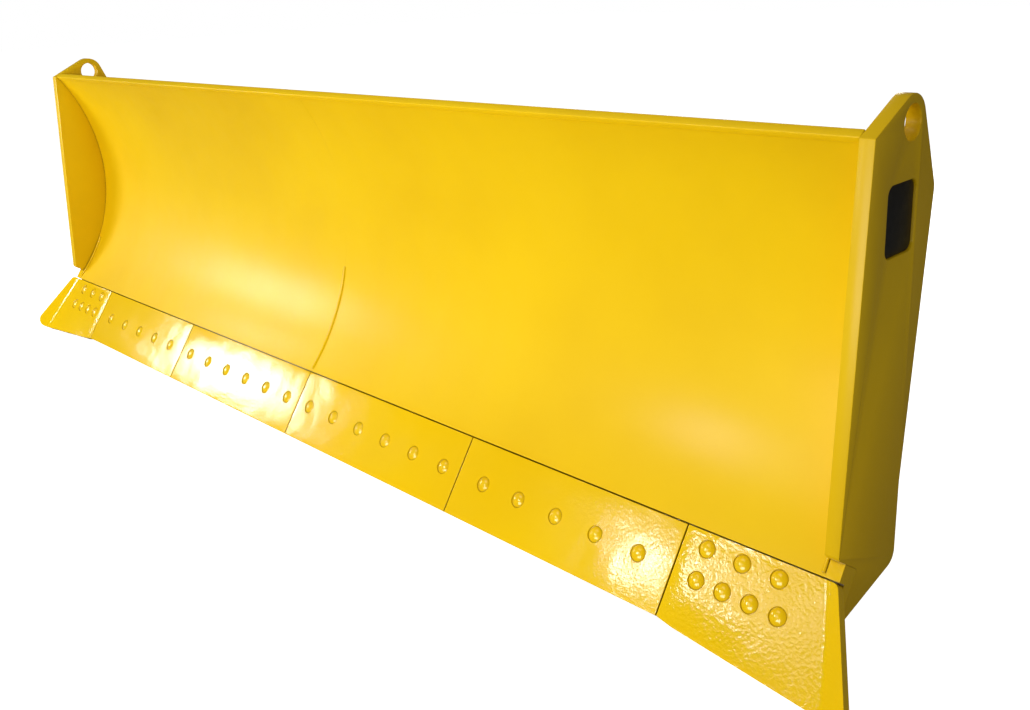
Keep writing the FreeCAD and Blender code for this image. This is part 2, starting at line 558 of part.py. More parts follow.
def bolt_row(body, tag, first, drop, pitch, count, sign):
    """One row of plow bolts: a domed, coned head, a square neck and a round shank."""
    profile = new_sketch(body, tag + "_profile", "XY_Plane")
    across = "%d * %s" % (sign, first)
    profile.AttachmentOffset = FreeCAD.Placement(
        FreeCAD.Vector(value(across), 0, -value(drop)), FreeCAD.Rotation())
    profile.setExpression("AttachmentOffset.Base.x", "(%s) * 1 mm" % across)
    profile.setExpression("AttachmentOffset.Base.z", "-%s * 1 mm" % drop)
    rim = (value(HEAD_RADIUS), value(HEAD_RIM))
    floor = (value(SINK_FLOOR), value("Dims.sink_deep"))
    shank = value("Dims.bolt_size / 2")
    end = value(BOLT_LENGTH)
    crown = -value("Dims.head_dome")
    places = [(0, crown), rim, floor, (shank, floor[1]), (shank, end), (0, end)]
    vectors = [FreeCAD.Vector(x, y, 0) for x, y in places]
    middle = FreeCAD.Vector(rim[0] * 0.55, crown + (rim[1] - crown) * 0.28, 0)
    profile.addGeometry(Part.Arc(vectors[0], middle, vectors[1]), False)
    for start, finish in zip(vectors[1:], vectors[2:] + vectors[:1]):
        profile.addGeometry(Part.LineSegment(start, finish), False)
    # the arc's ends swap when it runs clockwise, so its ends are found by place
    ends = [profile.getPoint(0, vertex) for vertex in (1, 2)]
    at_crown = 1 if (ends[0] - vectors[0]).Length < 0.01 else 2
    at_rim = 3 - at_crown
    profile.addConstraint(Sketcher.Constraint("Coincident", 0, at_rim, 1, 1))
    for index in range(1, 5):
        profile.addConstraint(Sketcher.Constraint("Coincident", index, 2, index + 1, 1))
    profile.addConstraint(Sketcher.Constraint("Coincident", 5, 2, 0, at_crown))
    pin_point(profile, 0, at_crown, "0", "-Dims.head_dome")
    pin_point(profile, 1, 1, HEAD_RADIUS, HEAD_RIM)
    pin_point(profile, 2, 1, SINK_FLOOR, "Dims.sink_deep")
    pin_point(profile, 3, 1, "Dims.bolt_size / 2", "Dims.sink_deep")
    pin_point(profile, 4, 1, "Dims.bolt_size / 2", BOLT_LENGTH)
    pin_point(profile, 5, 1, "0", BOLT_LENGTH)
    dome = "(({0}^2 + ({1})^2) / (2 * ({1})))".format(
        HEAD_RADIUS, "Dims.head_dome + " + HEAD_RIM)
    size = profile.addConstraint(Sketcher.Constraint("Radius", 0, value(dome)))
    profile.setExpression("Constraints[%d]" % size, dome)
    turned = revolve(body, profile, (profile, ["V_Axis"]), "360 deg")

    neck = new_sketch(body, tag + "_neck", "XZ_Plane")
    neck.AttachmentOffset = FreeCAD.Placement(
        FreeCAD.Vector(0, 0, -value("Dims.sink_deep") + 4), FreeCAD.Rotation())
    neck.setExpression("AttachmentOffset.Base.z", "-(Dims.sink_deep - 4) * 1 mm")
    draw_square(neck, across, "-" + drop, NECK_HALF)
    square = pad(body, neck, NECK_END + " - Dims.sink_deep + 4", reverse=True)
    repeat_row(body, tag, [turned, square], pitch, count, sign)


def make_bolts(name, kind, sign):
    body = new_edge_body(name)
    for number, (first, drop, pitch, count) in enumerate(edge_rows(kind)):
        bolt_row(body, "row%d" % number, first, drop, pitch, count, sign)


def every_row():
    """Each bolt row of the whole blade, as (tag, sign, row)."""
    rows = []
    for kind in ("centre", "outer", "bit"):
        for side, sign in SIDES:
            for number, row in enumerate(edge_rows(kind)):
                rows.append(("%s_%s_%d" % (kind, side, number), sign, row))
    return rows


def make_washers():
    """Flat washers on the back of the edge seat, one under each nut."""
    body = new_edge_body("edge_bolt_washers")
    for tag, sign, (first, drop, pitch, count) in every_row():
        ring = new_sketch(body, tag, "XZ_Plane")
        ring.setExpression("AttachmentOffset.Base.z", "-%s * 1 mm" % SEAT_BACK)
        across = "%d * %s" % (sign, first)
        draw_circle(ring, across, "-" + drop, "Dims.bolt_size / 2 + Dims.washer_flange")
        draw_circle(ring, across, "-" + drop, "Dims.bolt_size / 2 + Dims.thread_gap")
        washer = pad(body, ring, "Dims.washer_thick", reverse=True)
        repeat_row(body, tag, [washer], pitch, count, sign)


def make_nuts():
    """Heavy hexagon nuts, one on each plow bolt."""
    body = new_edge_body("edge_bolt_nuts")
    corner = "(Dims.bolt_size / 2 + Dims.nut_wall) / cos(30 deg)"
    for tag, sign, (first, drop, pitch, count) in every_row():
        hexagon = new_sketch(body, tag, "XZ_Plane")
        hexagon.setExpression("AttachmentOffset.Base.z",
                              "-(%s + Dims.washer_thick) * 1 mm" % SEAT_BACK)
        across = "%d * %s" % (sign, first)
        draw_outline(hexagon, [
            ("%s + %s * cos(%d deg)" % (across, corner, turn),
             "-%s + %s * sin(%d deg)" % (drop, corner, turn))
            for turn in range(0, 360, 60)])
        draw_circle(hexagon, across, "-" + drop, "Dims.bolt_size / 2 + Dims.thread_gap")
        nut = pad(body, hexagon, "Dims.nut_thick", reverse=True)
        repeat_row(body, tag, [nut], pitch, count, sign)


def make_edge_seat():
    """The thick bar that the wear parts are bolted to, nosed up against the moldboard."""
    body = new_edge_body("edge_seat_bar")
    sketch = new_sketch(body, "section", "YZ_Plane")
    draw_outline(sketch, [
        (SEAT_BACK, "-Dims.seat_drop"), (SEAT_BACK, "Dims.seat_rise"),
        ("0", "Dims.seat_rise"), ("0", "0"), ("Dims.edge_thick", "0"),
        ("Dims.edge_thick", "-Dims.seat_drop")])
    pad(body, sketch, "Dims.blade_width", centred=True)
    hollow = new_sketch(body, "moldboard_back", "YZ_Plane")
    ahead = "({0} * cos({2}) - {1} * sin({2}))".format(ARC_Y, ARC_Z, LEAN)
    above = "({0} * sin({2}) + {1} * cos({2}))".format(ARC_Y, ARC_Z, LEAN)
    draw_circle(hollow, ahead, above, BACK_RADIUS)
    pocket(body, hollow, "2 * " + HALF_IN, centred=True)
    for tag, sign, (first, drop, pitch, count) in every_row():
        circle = new_sketch(body, "hole_" + tag, "XZ_Plane")
        draw_circle(circle, "%d * %s" % (sign, first), "-" + drop,
                    "Dims.bolt_size / 2 + Dims.shank_gap")
        hole = pocket(body, circle)
        repeat_row(body, tag, [hole], pitch, count, sign)


# ---------------------------------------------------------------- box beams, ribs and webs

def long_plate(name, outline, meets_moldboard):
    """A plate that runs between the end plates with a constant section."""
    body = new_body(name)
    sketch = new_sketch(body, "section", "YZ_Plane")
    draw_outline(sketch, outline)
    pad(body, sketch, "2 * " + HALF_IN, centred=True)
    if meets_moldboard:
        cut_back_to_moldboard(body)


def roof_height(across, down="0"):
    """Height of the upper box's sloping roof at a place behind the toe line."""
    slope = "tan(Dims.roof_slope * 1 deg)"
    return "(%s - (%s) + (%s - (%s)) * %s)" % (HIGH_ROOF, down, HIGH_BACK, across, slope)


def make_boxes():
    seat_at_floor = behind(SEAT_BACK, "0")
    seat_under_floor = behind(SEAT_BACK, "Dims.box_sheet")
    long_plate("lower_box_floor", [
        seat_under_floor, (LOW_BACK_IN, LOW_FLOOR), (LOW_BACK_IN, LOW_FLOOR_TOP),
        seat_at_floor], False)
    long_plate("lower_box_back", [
        (LOW_BACK_IN, LOW_FLOOR), (LOW_BACK, LOW_FLOOR), (LOW_BACK, "Dims.low_roof_height"),
        (LOW_BACK_IN, "Dims.low_roof_height")], False)
    long_plate("lower_box_roof", [
        (WELL_AHEAD, LOW_ROOF_UNDER), (LOW_BACK_IN, LOW_ROOF_UNDER),
        (LOW_BACK_IN, "Dims.low_roof_height"), (WELL_AHEAD, "Dims.low_roof_height")], True)
    long_plate("upper_box_floor", [
        (WELL_AHEAD, HIGH_FLOOR), (HIGH_BACK_IN, HIGH_FLOOR),
        (HIGH_BACK_IN, HIGH_FLOOR_TOP), (WELL_AHEAD, HIGH_FLOOR_TOP)], True)
    long_plate("upper_box_back", [
        (HIGH_BACK_IN, HIGH_FLOOR), (HIGH_BACK, HIGH_FLOOR),
        (HIGH_BACK, roof_height(HIGH_BACK, "Dims.box_sheet")),
        (HIGH_BACK_IN, roof_height(HIGH_BACK_IN, "Dims.box_sheet"))], False)
    long_plate("upper_box_roof", [
        (ROOF_AHEAD, roof_height(ROOF_AHEAD, "Dims.box_sheet")),
        (HIGH_BACK, roof_height(HIGH_BACK, "Dims.box_sheet")),
        (HIGH_BACK, roof_height(HIGH_BACK)),
        (ROOF_AHEAD, roof_height(ROOF_AHEAD))], True)


def cross_plate(name, middle, thick, outline):
    """An upright plate across the blade, trimmed to the moldboard's back."""
    body = new_body(name)
    body.setExpression("Placement.Base.x", "(%s) * 1 mm" % middle)
    sketch = new_sketch(body, "outline", "YZ_Plane")
    draw_outline(sketch, outline)
    pad(body, sketch, thick, centred=True)
    cut_back_to_moldboard(body)


def make_ribs():
    """Ribs that join the two boxes behind the moldboard."""
    low_back = "(%s - Dims.rib_setback)" % LOW_BACK
    high_back = "(%s - Dims.rib_setback)" % HIGH_BACK
    for number in range(RIBS):
        middle = "(%r * %s)" % ((2 * number + 1) / RIBS - 1, HALF_IN)
        cross_plate("back_rib_%d" % (number + 1), middle, "Dims.rib_thick", [
            (WELL_AHEAD, "Dims.low_roof_height"), (low_back, "Dims.low_roof_height"),
            (high_back, HIGH_FLOOR), (WELL_AHEAD, HIGH_FLOOR)])


def clevis_offsets(gap, thick):
    """The two ears of a clevis, as (name, X from the clevis's middle)."""
    shift = "(%s / 2 + %s / 2)" % (gap, thick)
    return (("inner", "-" + shift), ("outer", shift))


def make_box_webs():
    """Webs inside the boxes, in line with the clevis ears outside them."""
    seat_low = behind(SEAT_BACK, "0")
    seat_high = behind(SEAT_BACK, "-Dims.seat_rise")
    seat_nose = behind("Dims.moldboard_thick", "-Dims.seat_rise")
    for side, sign in SIDES:
        for ear, shift in clevis_offsets("Dims.arm_gap", "Dims.arm_ear_thick"):
            middle = "%d * (Dims.arm_x + %s)" % (sign, shift)
            cross_plate("lower_box_web_%s_%s" % (side, ear), middle, "Dims.web_thick", [
                seat_low, (LOW_BACK_IN, LOW_FLOOR_TOP), (LOW_BACK_IN, LOW_ROOF_UNDER),
                (WELL_AHEAD, LOW_ROOF_UNDER), seat_nose, seat_high])
        for ear, shift in clevis_offsets("Dims.brace_gap", "Dims.brace_ear_thick"):
            middle = "%d * (Dims.brace_x + %s)" % (sign, shift)
            cross_plate("upper_box_web_%s_%s" % (side, ear), middle, "Dims.web_thick", [
                (WELL_AHEAD, HIGH_FLOOR_TOP), (HIGH_BACK_IN, HIGH_FLOOR_TOP),
                (HIGH_BACK_IN, roof_height(HIGH_BACK_IN, "Dims.box_sheet")),
                (ROOF_AHEAD, roof_height(ROOF_AHEAD, "Dims.box_sheet"))])


# ---------------------------------------------------------------- clevises

def make_ear(name, middle, thick, outline, rounded, pin, bore):
    """A clevis ear: a thick plate with rounded corners and a cross bore."""
    body = new_body(name)
    body.setExpression("Placement.Base.x", "(%s) * 1 mm" % middle)
    sketch = new_sketch(body, "outline", "YZ_Plane")
    draw_outline(sketch, outline)
    pad(body, sketch, thick, centred=True)
    for corner, radius in rounded:
        across, up = outline[corner]
        round_edges(body, edges_along(body, 0, value(across), value(up)), radius)
    hole = new_sketch(body, "bore", "YZ_Plane")
    draw_circle(hole, pin[0], pin[1], bore)
    pocket(body, hole)


def make_bushing(name, middle):
    """A steel bushing pressed into a push-arm ear."""
    body = new_body(name)
    body.setExpression("Placement.Base.x", "(%s) * 1 mm" % middle)
    sketch = new_sketch(body, "ring", "YZ_Plane")
    draw_circle(sketch, ARM_PIN[0], ARM_PIN[1], "(Dims.arm_bore / 2 + Dims.arm_bush_wall)")
    draw_circle(sketch, ARM_PIN[0], ARM_PIN[1], "Dims.arm_bore / 2")
    pad(body, sketch, "Dims.arm_ear_thick", centred=True)


def make_clevises():
    arm_tip = "(%s + Dims.arm_nose)" % ARM_PIN[0]
    arm_shoulder = "(%s + Dims.arm_top_long)" % LOW_BACK
    arm_outline = [
        (LOW_BACK, LOW_FLOOR), (LOW_BACK, "Dims.arm_top_height"),
        (arm_shoulder, "Dims.arm_top_height"), (arm_tip, ARM_PIN[1] + " + Dims.arm_nose"),
        (arm_tip, "-" + TOE_Z), (arm_shoulder, "-" + TOE_Z)]
    arm_rounded = ((2, "Dims.arm_nose / 2"), (3, "Dims.arm_nose * 0.8"),
                   (4, "Dims.arm_nose / 2"))
    brace_tip = "(%s + Dims.brace_nose)" % BRACE_PIN[0]
    brace_top = "(%s + Dims.brace_nose)" % BRACE_PIN[1]
    brace_foot = "(%s - Dims.brace_nose)" % BRACE_PIN[1]
    brace_outline = [
        (HIGH_BACK, HIGH_FLOOR), (HIGH_BACK, roof_height(HIGH_BACK, "Dims.box_sheet")),
        (BRACE_PIN[0], brace_top), (brace_tip, brace_top), (brace_tip, brace_foot),
        (BRACE_PIN[0], brace_foot)]
    brace_rounded = ((3, "Dims.brace_nose * 0.9"), (4, "Dims.brace_nose * 0.9"))
    for side, sign in SIDES:
        for ear, shift in clevis_offsets("Dims.arm_gap", "Dims.arm_ear_thick"):
            middle = "%d * (Dims.arm_x + %s)" % (sign, shift)
            make_ear("push_arm_ear_%s_%s" % (side, ear), middle, "Dims.arm_ear_thick",
                     arm_outline, arm_rounded, ARM_PIN,
                     "(Dims.arm_bore / 2 + Dims.arm_bush_wall)")
            make_bushing("push_arm_bushing_%s_%s" % (side, ear), middle)
        for ear, shift in clevis_offsets("Dims.brace_gap", "Dims.brace_ear_thick"):
            middle = "%d * (Dims.brace_x + %s)" % (sign, shift)
            make_ear("brace_ear_%s_%s" % (side, ear), middle, "Dims.brace_ear_thick",
                     brace_outline, brace_rounded, BRACE_PIN, "Dims.brace_bore / 2")


# ---------------------------------------------------------------- the whole blade

def all_bodies():
    return [item for item in doc.Objects if item.TypeId == "PartDesign::Body"]


def stand_on_ground():
    """Set the ground level with the lowest corner of the end bits."""
    lowest = min(doc.getObject("end_bit_" + side).Shape.optimalBoundingBox().ZMin
                 for side, _ in SIDES)
    place.set("B2", repr(value(TOE_Z) - lowest))
    doc.recompute()


def centre_frame():
    """Put the origin under the middle of the blade's box, front to back."""
    boxes = [body.Shape.optimalBoundingBox() for body in all_bodies()]
    middle = (min(box.YMin for box in boxes) + max(box.YMax for box in boxes)) / 2
    place.set("B1", repr(value(TOE_Y) - middle))
    doc.recompute()


def build():
    for side, sign in SIDES:
        make_end_bit(side, sign)
    stand_on_ground()
    for side, sign in SIDES:
        make_bolts("plow_bolts_bit_" + side, "bit", sign)
        for kind in ("centre", "outer"):
            make_cutting_edge("cutting_edge_%s_%s" % (kind, side), kind, sign)
            make_bolts("plow_bolts_%s_%s" % (kind, side), kind, sign)
    make_edge_seat()
    make_washers()
    make_nuts()
    make_moldboard()
    for side, sign in SIDES:
        make_end_plate(side, sign)
        make_badge(side, sign)
    make_boxes()
    make_ribs()
    make_box_webs()
    make_clevises()
    centre_frame()


def check_and_write():
    failed = [item.Name for item in doc.Objects
              if "Invalid" in item.State or "Error" in item.State]
    for body in all_bodies():
        shape = body.Shape
        if shape.isNull() or not shape.isValid() or not shape.Solids:
            failed.append(body.Name)
    if failed:
        raise RuntimeError("failed: " + ", ".join(failed))
    os.makedirs("parts", exist_ok=True)
    for body in all_bodies():
        body.Shape.exportStep("parts/%s.step" % body.Label)


build()
check_and_write()
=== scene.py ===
import math

import bmesh
import bpy
from mathutils import Matrix, Vector


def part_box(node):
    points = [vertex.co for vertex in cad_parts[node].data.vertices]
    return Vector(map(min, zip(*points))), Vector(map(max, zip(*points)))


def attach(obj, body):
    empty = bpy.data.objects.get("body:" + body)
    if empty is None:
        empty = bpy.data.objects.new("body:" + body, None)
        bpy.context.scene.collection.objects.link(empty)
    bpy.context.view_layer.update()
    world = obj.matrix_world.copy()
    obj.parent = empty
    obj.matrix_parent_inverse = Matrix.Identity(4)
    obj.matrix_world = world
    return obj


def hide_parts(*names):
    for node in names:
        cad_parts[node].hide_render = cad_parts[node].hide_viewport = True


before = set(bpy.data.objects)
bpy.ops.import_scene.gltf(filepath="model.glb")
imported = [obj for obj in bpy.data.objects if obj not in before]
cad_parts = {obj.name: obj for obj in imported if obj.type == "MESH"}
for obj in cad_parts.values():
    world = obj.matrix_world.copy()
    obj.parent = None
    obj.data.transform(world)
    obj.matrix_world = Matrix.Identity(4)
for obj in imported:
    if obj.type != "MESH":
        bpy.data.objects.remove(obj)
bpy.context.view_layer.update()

# A straight dozer blade in golden-yellow enamel. Metres, X along the blade, -Y towards the
# material being pushed, +Z up. The moldboard, rim, welds, bolts and nuts are grown by Geometry
# Nodes from sizes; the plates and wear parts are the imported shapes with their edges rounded.

# The moldboard is a sheet rolled to one radius, with a bar along its top edge.
ROLL_RADIUS = 0.805
SHEET = 0.016
CHORD = 1.036
CHORD_LEAN = math.radians(3.4)
HALF_ARC = math.asin(CHORD / 2 / ROLL_RADIUS)
TOE_ANGLE = math.pi / 2 - HALF_ARC - CHORD_LEAN
RIM_TALL = 0.020
RIM_ARC = RIM_TALL / ROLL_RADIUS
RIM_PROUD = 0.003
RIM_BEHIND = 0.008

left_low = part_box("moldboard_left")[0]
BLADE_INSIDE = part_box("moldboard_right")[1].x
TOE = Vector((0, left_low.y, left_low.z + SHEET * math.cos(TOE_ANGLE)))
ROLL_AXIS = TOE - ROLL_RADIUS * Vector((0, math.sin(TOE_ANGLE), -math.cos(TOE_ANGLE)))

# The wear parts lie on a plane that leans back from the toe line.
EDGE_LEAN = math.radians(35)
DOWN_FACE = Vector((0, -math.sin(EDGE_LEAN), -math.cos(EDGE_LEAN)))

SIDES = (("left", -1), ("right", 1))


# ---------------------------------------------------------------- node tree helpers

def add(tree, kind, inputs=(), **settings):
    """A node with its settings, and its inputs set or linked."""
    node = tree.nodes.new(kind)
    for name, value in settings.items():
        setattr(node, name, value)
    for socket, value in dict(inputs).items():
        if isinstance(value, bpy.types.NodeSocket):
            tree.links.new(value, node.inputs[socket])
        else:
            node.inputs[socket].default_value = value
    return node


def math_node(tree, operation, first, second=0.0, third=0.0):
    """One step of arithmetic, as an output socket."""
    return add(tree, "ShaderNodeMath", {0: first, 1: second, 2: third},
               operation=operation).outputs[0]


def mix_colour(tree, share, first, second):
    """Two colours mixed by a share, as an output socket."""
    return add(tree, "ShaderNodeMix", {"Factor": share, 6: first, 7: second},
               data_type="RGBA").outputs[2]


def map_range(tree, value, low, high, to_low=0.0, to_high=1.0):
    """A value stretched from one range to another and held within it."""
    return add(tree, "ShaderNodeMapRange", {
        "Value": value, "From Min": low, "From Max": high, "To Min": to_low,
        "To Max": to_high}).outputs[0]


def place_data(name, data):
    """A new object for a mesh, light, curve or camera, linked to the scene."""
    placed = bpy.data.objects.new(name, data)
    bpy.context.scene.collection.objects.link(placed)
    return placed


def new_group(name, kind, inputs, outputs):
    """A node group with named sockets, and its input and output nodes."""
    tree = bpy.data.node_groups.new(name, kind)
    for label, socket, value in inputs:
        made = tree.interface.new_socket(label, in_out="INPUT", socket_type=socket)
        if value is not None:
            made.default_value = value
    for label, socket in outputs:
        tree.interface.new_socket(label, in_out="OUTPUT", socket_type=socket)
    return tree, tree.nodes.new("NodeGroupInput").outputs, tree.nodes.new("NodeGroupOutput")


# ---------------------------------------------------------------- shared paint effects

FLOAT, COLOR, VECTOR = "NodeSocketFloat", "NodeSocketColor", "NodeSocketVector"


def object_noise(tree, scale, detail=2.0, rough=0.5, stretch=None):
    """Noise on the piece's own coordinates."""
    place = add(tree, "ShaderNodeTexCoord").outputs["Object"]
    if stretch is not None:
        place = add(tree, "ShaderNodeMapping", {"Vector": place, "Scale": stretch}).outputs[0]
    return add(tree, "ShaderNodeTexNoise", {
        "Vector": place, "Scale": scale, "Detail": detail, "Roughness": rough}).outputs[0]


def make_enamel_tint():
    """Enamel that drifts a little between a full and a thin coat, with thin sharp edges."""
    tree, given, out = new_group("enamel_tint", "ShaderNodeTree", [
        ("Full coat", COLOR, (0.8, 0.5, 0.01, 1)), ("Thin coat", COLOR, (0.6, 0.35, 0.01, 1)),
        ("Drift size", FLOAT, 1.4), ("Drift", FLOAT, 0.5), ("Edge", FLOAT, 0.0)], [
        ("Color", COLOR)])
    cloud = object_noise(tree, given["Drift size"], 3.0)
    spread = map_range(tree, cloud, 0.35, 0.68)
    drift = math_node(tree, "MULTIPLY", spread, given["Drift"])
    share = add(tree, "ShaderNodeClamp", {
        "Value": math_node(tree, "ADD", drift, given["Edge"])}).outputs[0]
    mixed = mix_colour(tree, share, given["Full coat"], given["Thin coat"])
    tree.links.new(mixed, out.inputs["Color"])
    return tree


def make_orange_peel():
    """The small swells of sprayed enamel over a slow waviness, as a height."""
    tree, given, out = new_group("orange_peel", "ShaderNodeTree", [
        ("Peel per metre", FLOAT, 220.0), ("Peel", FLOAT, 1.0),
        ("Waves per metre", FLOAT, 9.0), ("Waves", FLOAT, 1.0)], [("Height", FLOAT)])
    peel = object_noise(tree, given["Peel per metre"], 2.0, 0.45)
    waves = object_noise(tree, given["Waves per metre"], 1.0)
    total = math_node(tree, "ADD", math_node(tree, "MULTIPLY", peel, given["Peel"]),
                      math_node(tree, "MULTIPLY", waves, given["Waves"]))
    tree.links.new(total, out.inputs["Height"])
    return tree


def make_worn_edge():
    """A mask that is 1 along sharp outer edges, broken up by noise."""
    tree, given, out = new_group("worn_edge", "ShaderNodeTree", [
        ("Reach", FLOAT, 0.004), ("Amount", FLOAT, 1.0)], [("Mask", FLOAT)])
    rounded = add(tree, "ShaderNodeBevel", {"Radius": given["Reach"]}, samples=4).outputs[0]
    flat = add(tree, "ShaderNodeNewGeometry").outputs["Normal"]
    facing = add(tree, "ShaderNodeVectorMath", {0: rounded, 1: flat},
                 operation="DOT_PRODUCT").outputs["Value"]
    turned = map_range(tree, facing, 0.995, 0.86)
    broken = map_range(tree, object_noise(tree, 60.0, 3.0), 0.38, 0.62)
    mask = math_node(tree, "MULTIPLY", math_node(tree, "MULTIPLY", turned, broken),
                     given["Amount"])
    tree.links.new(mask, out.inputs["Mask"])
    return tree


def make_yard_dust():
    """Fine dust that settles on what faces up, and a few specks everywhere."""
    tree, given, out = new_group("yard_dust", "ShaderNodeTree", [
        ("On top", FLOAT, 0.2), ("Specks", FLOAT, 0.1)], [("Mask", FLOAT)])
    up = add(tree, "ShaderNodeSeparateXYZ", {
        0: add(tree, "ShaderNodeNewGeometry").outputs["Normal"]}).outputs[2]
    lying = map_range(tree, up, 0.35, 1.0)
    patchy = object_noise(tree, 14.0, 4.0, 0.6)
    settled = math_node(tree, "MULTIPLY", math_node(tree, "MULTIPLY", lying, patchy),
                        given["On top"])
    speck = map_range(tree, object_noise(tree, 420.0, 1.0), 0.72, 0.78)
    mask = add(tree, "ShaderNodeClamp", {"Value": math_node(
        tree, "ADD", settled, math_node(tree, "MULTIPLY", speck, given["Specks"]))}).outputs[0]
    tree.links.new(mask, out.inputs["Mask"])
    return tree


def make_recess_shade():
    """Painted shade: a mask that darkens the paint where it is closed in, between parts, in gaps
    and countersinks.
    """
    tree, given, out = new_group("recess_shade", "ShaderNodeTree", [
        ("Reach", FLOAT, 0.012), ("Amount", FLOAT, 0.8)], [("Mask", FLOAT)])
    # Painted shade: the paint darkens where ambient occlusion finds it closed in.
    open_share = add(tree, "ShaderNodeAmbientOcclusion", {"Distance": given["Reach"]},
                     samples=6).outputs["AO"]
    closed = map_range(tree, open_share, 0.80, 0.30)
    mask = math_node(tree, "MULTIPLY", closed, given["Amount"])
    tree.links.new(mask, out.inputs["Mask"])
    return tree


ENAMEL_TINT = make_enamel_tint()
ORANGE_PEEL = make_orange_peel()
WORN_EDGE = make_worn_edge()
YARD_DUST = make_yard_dust()
RECESS_SHADE = make_recess_shade()


# ---------------------------------------------------------------- materials

def new_material(name):
    """An empty node material, its tree and its shader."""
    material = bpy.data.materials.new(name)
    material.use_nodes = True
    tree = material.node_tree
    return material, tree, tree.nodes["Principled BSDF"]


# A dark brown for the painted shade in gaps, recesses and countersinks.
SHADE_BROWN = (0.17, 0.082, 0.004, 1)
DUST = (0.55, 0.44, 0.14, 1)
PEEL_HEIGHT = 0.001
CLEAR = (1.0, 1.0, 1.0)
WARM = (1.0, 0.82, 0.25)


def enamel(name, full, thin, rough=0.3, rough_spread=0.12, coat=0.6, coat_rough=0.06,
           peel=1.0, peel_scale=220.0, waves=1.0, edge=0.35, dust=0.01, shade_amount=0.75,
           shine=0.28, shine_tint=WARM):
    """Sprayed enamel on steel: tint, gloss, peel, thin edges, painted shade in gaps and recesses
    and a little dust.
    """
    material, tree, shader = new_material(name)
    worn = add(tree, "ShaderNodeGroup", {"Amount": edge}, node_tree=WORN_EDGE).outputs["Mask"]
    tint = add(tree, "ShaderNodeGroup", {
        "Full coat": (*full, 1), "Thin coat": (*thin, 1), "Edge": worn},
        node_tree=ENAMEL_TINT).outputs["Color"]
    dusty = add(tree, "ShaderNodeGroup", {"On top": dust, "Specks": dust * 0.5},
                node_tree=YARD_DUST).outputs["Mask"]
    recess_shade_mask = add(tree, "ShaderNodeGroup", {"Amount": shade_amount},
                 node_tree=RECESS_SHADE).outputs["Mask"]
    # Dust, then the painted shade in recesses, mixed into the colour.
    colour = mix_colour(tree, recess_shade_mask, mix_colour(tree, dusty, tint, DUST), SHADE_BROWN)
    tree.links.new(colour, shader.inputs["Base Color"])
    gloss = map_range(tree, object_noise(tree, 5.0, 4.0, 0.6), 0.3, 0.7, rough,
                      rough + rough_spread)
    duller = math_node(tree, "MULTIPLY_ADD", dusty, 0.5, gloss)
    tree.links.new(duller, shader.inputs["Roughness"])
    peeled = add(tree, "ShaderNodeGroup", {
        "Peel": peel, "Peel per metre": peel_scale, "Waves": waves},
        node_tree=ORANGE_PEEL).outputs["Height"]
    bumped = add(tree, "ShaderNodeBump", {
        "Strength": 1.0, "Distance": PEEL_HEIGHT, "Height": peeled})
    tree.links.new(bumped.outputs[0], shader.inputs["Normal"])
    shader.inputs["Coat Weight"].default_value = coat
    shader.inputs["Coat Roughness"].default_value = coat_rough
    shader.inputs["Specular IOR Level"].default_value = shine
    shader.inputs["Specular Tint"].default_value = (*shine_tint, 1)
    return material


YELLOW = (0.84, 0.545, 0.0012)
YELLOW_THIN = (0.72, 0.43, 0.001)
body_paint = enamel("body_enamel", YELLOW, YELLOW_THIN, rough=0.40, coat=0.28,
                    coat_rough=0.24, peel=0.10, waves=2.4)
# The end plates take a darker copy of the body's yellow, as painted shade; the real plates wear
# the same enamel.
shaded_plate_paint = enamel("shaded_plate_enamel", (0.76, 0.485, 0.001), (0.62, 0.37, 0.001), rough=0.46,
                     coat=0.22, coat_rough=0.26, peel=0.18, edge=0.5)

# The wear parts' gloss is in the paint itself, so that the peel breaks up what it mirrors.
wear_paint = enamel("wear_enamel", YELLOW, YELLOW_THIN, rough=0.12, rough_spread=0.06,
                    coat=0.0, peel=0.38, peel_scale=110.0, waves=2.0, edge=0.45,
                    shade_amount=0.95, shine=0.62, shine_tint=CLEAR)
bit_paint = enamel("bit_enamel", YELLOW, YELLOW_THIN, rough=0.10, rough_spread=0.06,
                   coat=0.0, peel=0.9, peel_scale=110.0, waves=2.4, edge=0.45,
                   shade_amount=0.95, shine=0.62, shine_tint=CLEAR)
bolt_paint = enamel("bolt_enamel", YELLOW, YELLOW_THIN, rough=0.28, coat=0.9,
                    coat_rough=0.08, peel=0.3, waves=0.5, edge=0.3, shade_amount=0.95)
weld_paint = enamel("weld_enamel", YELLOW, YELLOW_THIN, rough=0.34, coat=0.8,
                    coat_rough=0.12, peel=0.35, waves=0.6, edge=0.2, shade_amount=0.5)
back_paint = enamel("back_enamel", (0.80, 0.51, 0.0015), (0.64, 0.37, 0.0012), rough=0.4,
                    coat=0.35, coat_rough=0.2, peel=0.2, edge=0.5, dust=0.18)


def make_badge_black():
    """Satin black for the blank badges, with a fine grain."""
    material, tree, shader = new_material("badge_black")
    gloss = map_range(tree, object_noise(tree, 30.0, 4.0), 0.0, 1.0, 0.3, 0.55)
    tree.links.new(gloss, shader.inputs["Roughness"])
    shade = mix_colour(tree, object_noise(tree, 90.0, 3.0), (0.008, 0.008, 0.008, 1),
                       (0.03, 0.028, 0.024, 1))
    tree.links.new(shade, shader.inputs["Base Color"])
    grain = add(tree, "ShaderNodeBump", {
        "Strength": 0.6, "Distance": 0.0006, "Height": object_noise(tree, 500.0, 2.0)})
    tree.links.new(grain.outputs[0], shader.inputs["Normal"])
    return material


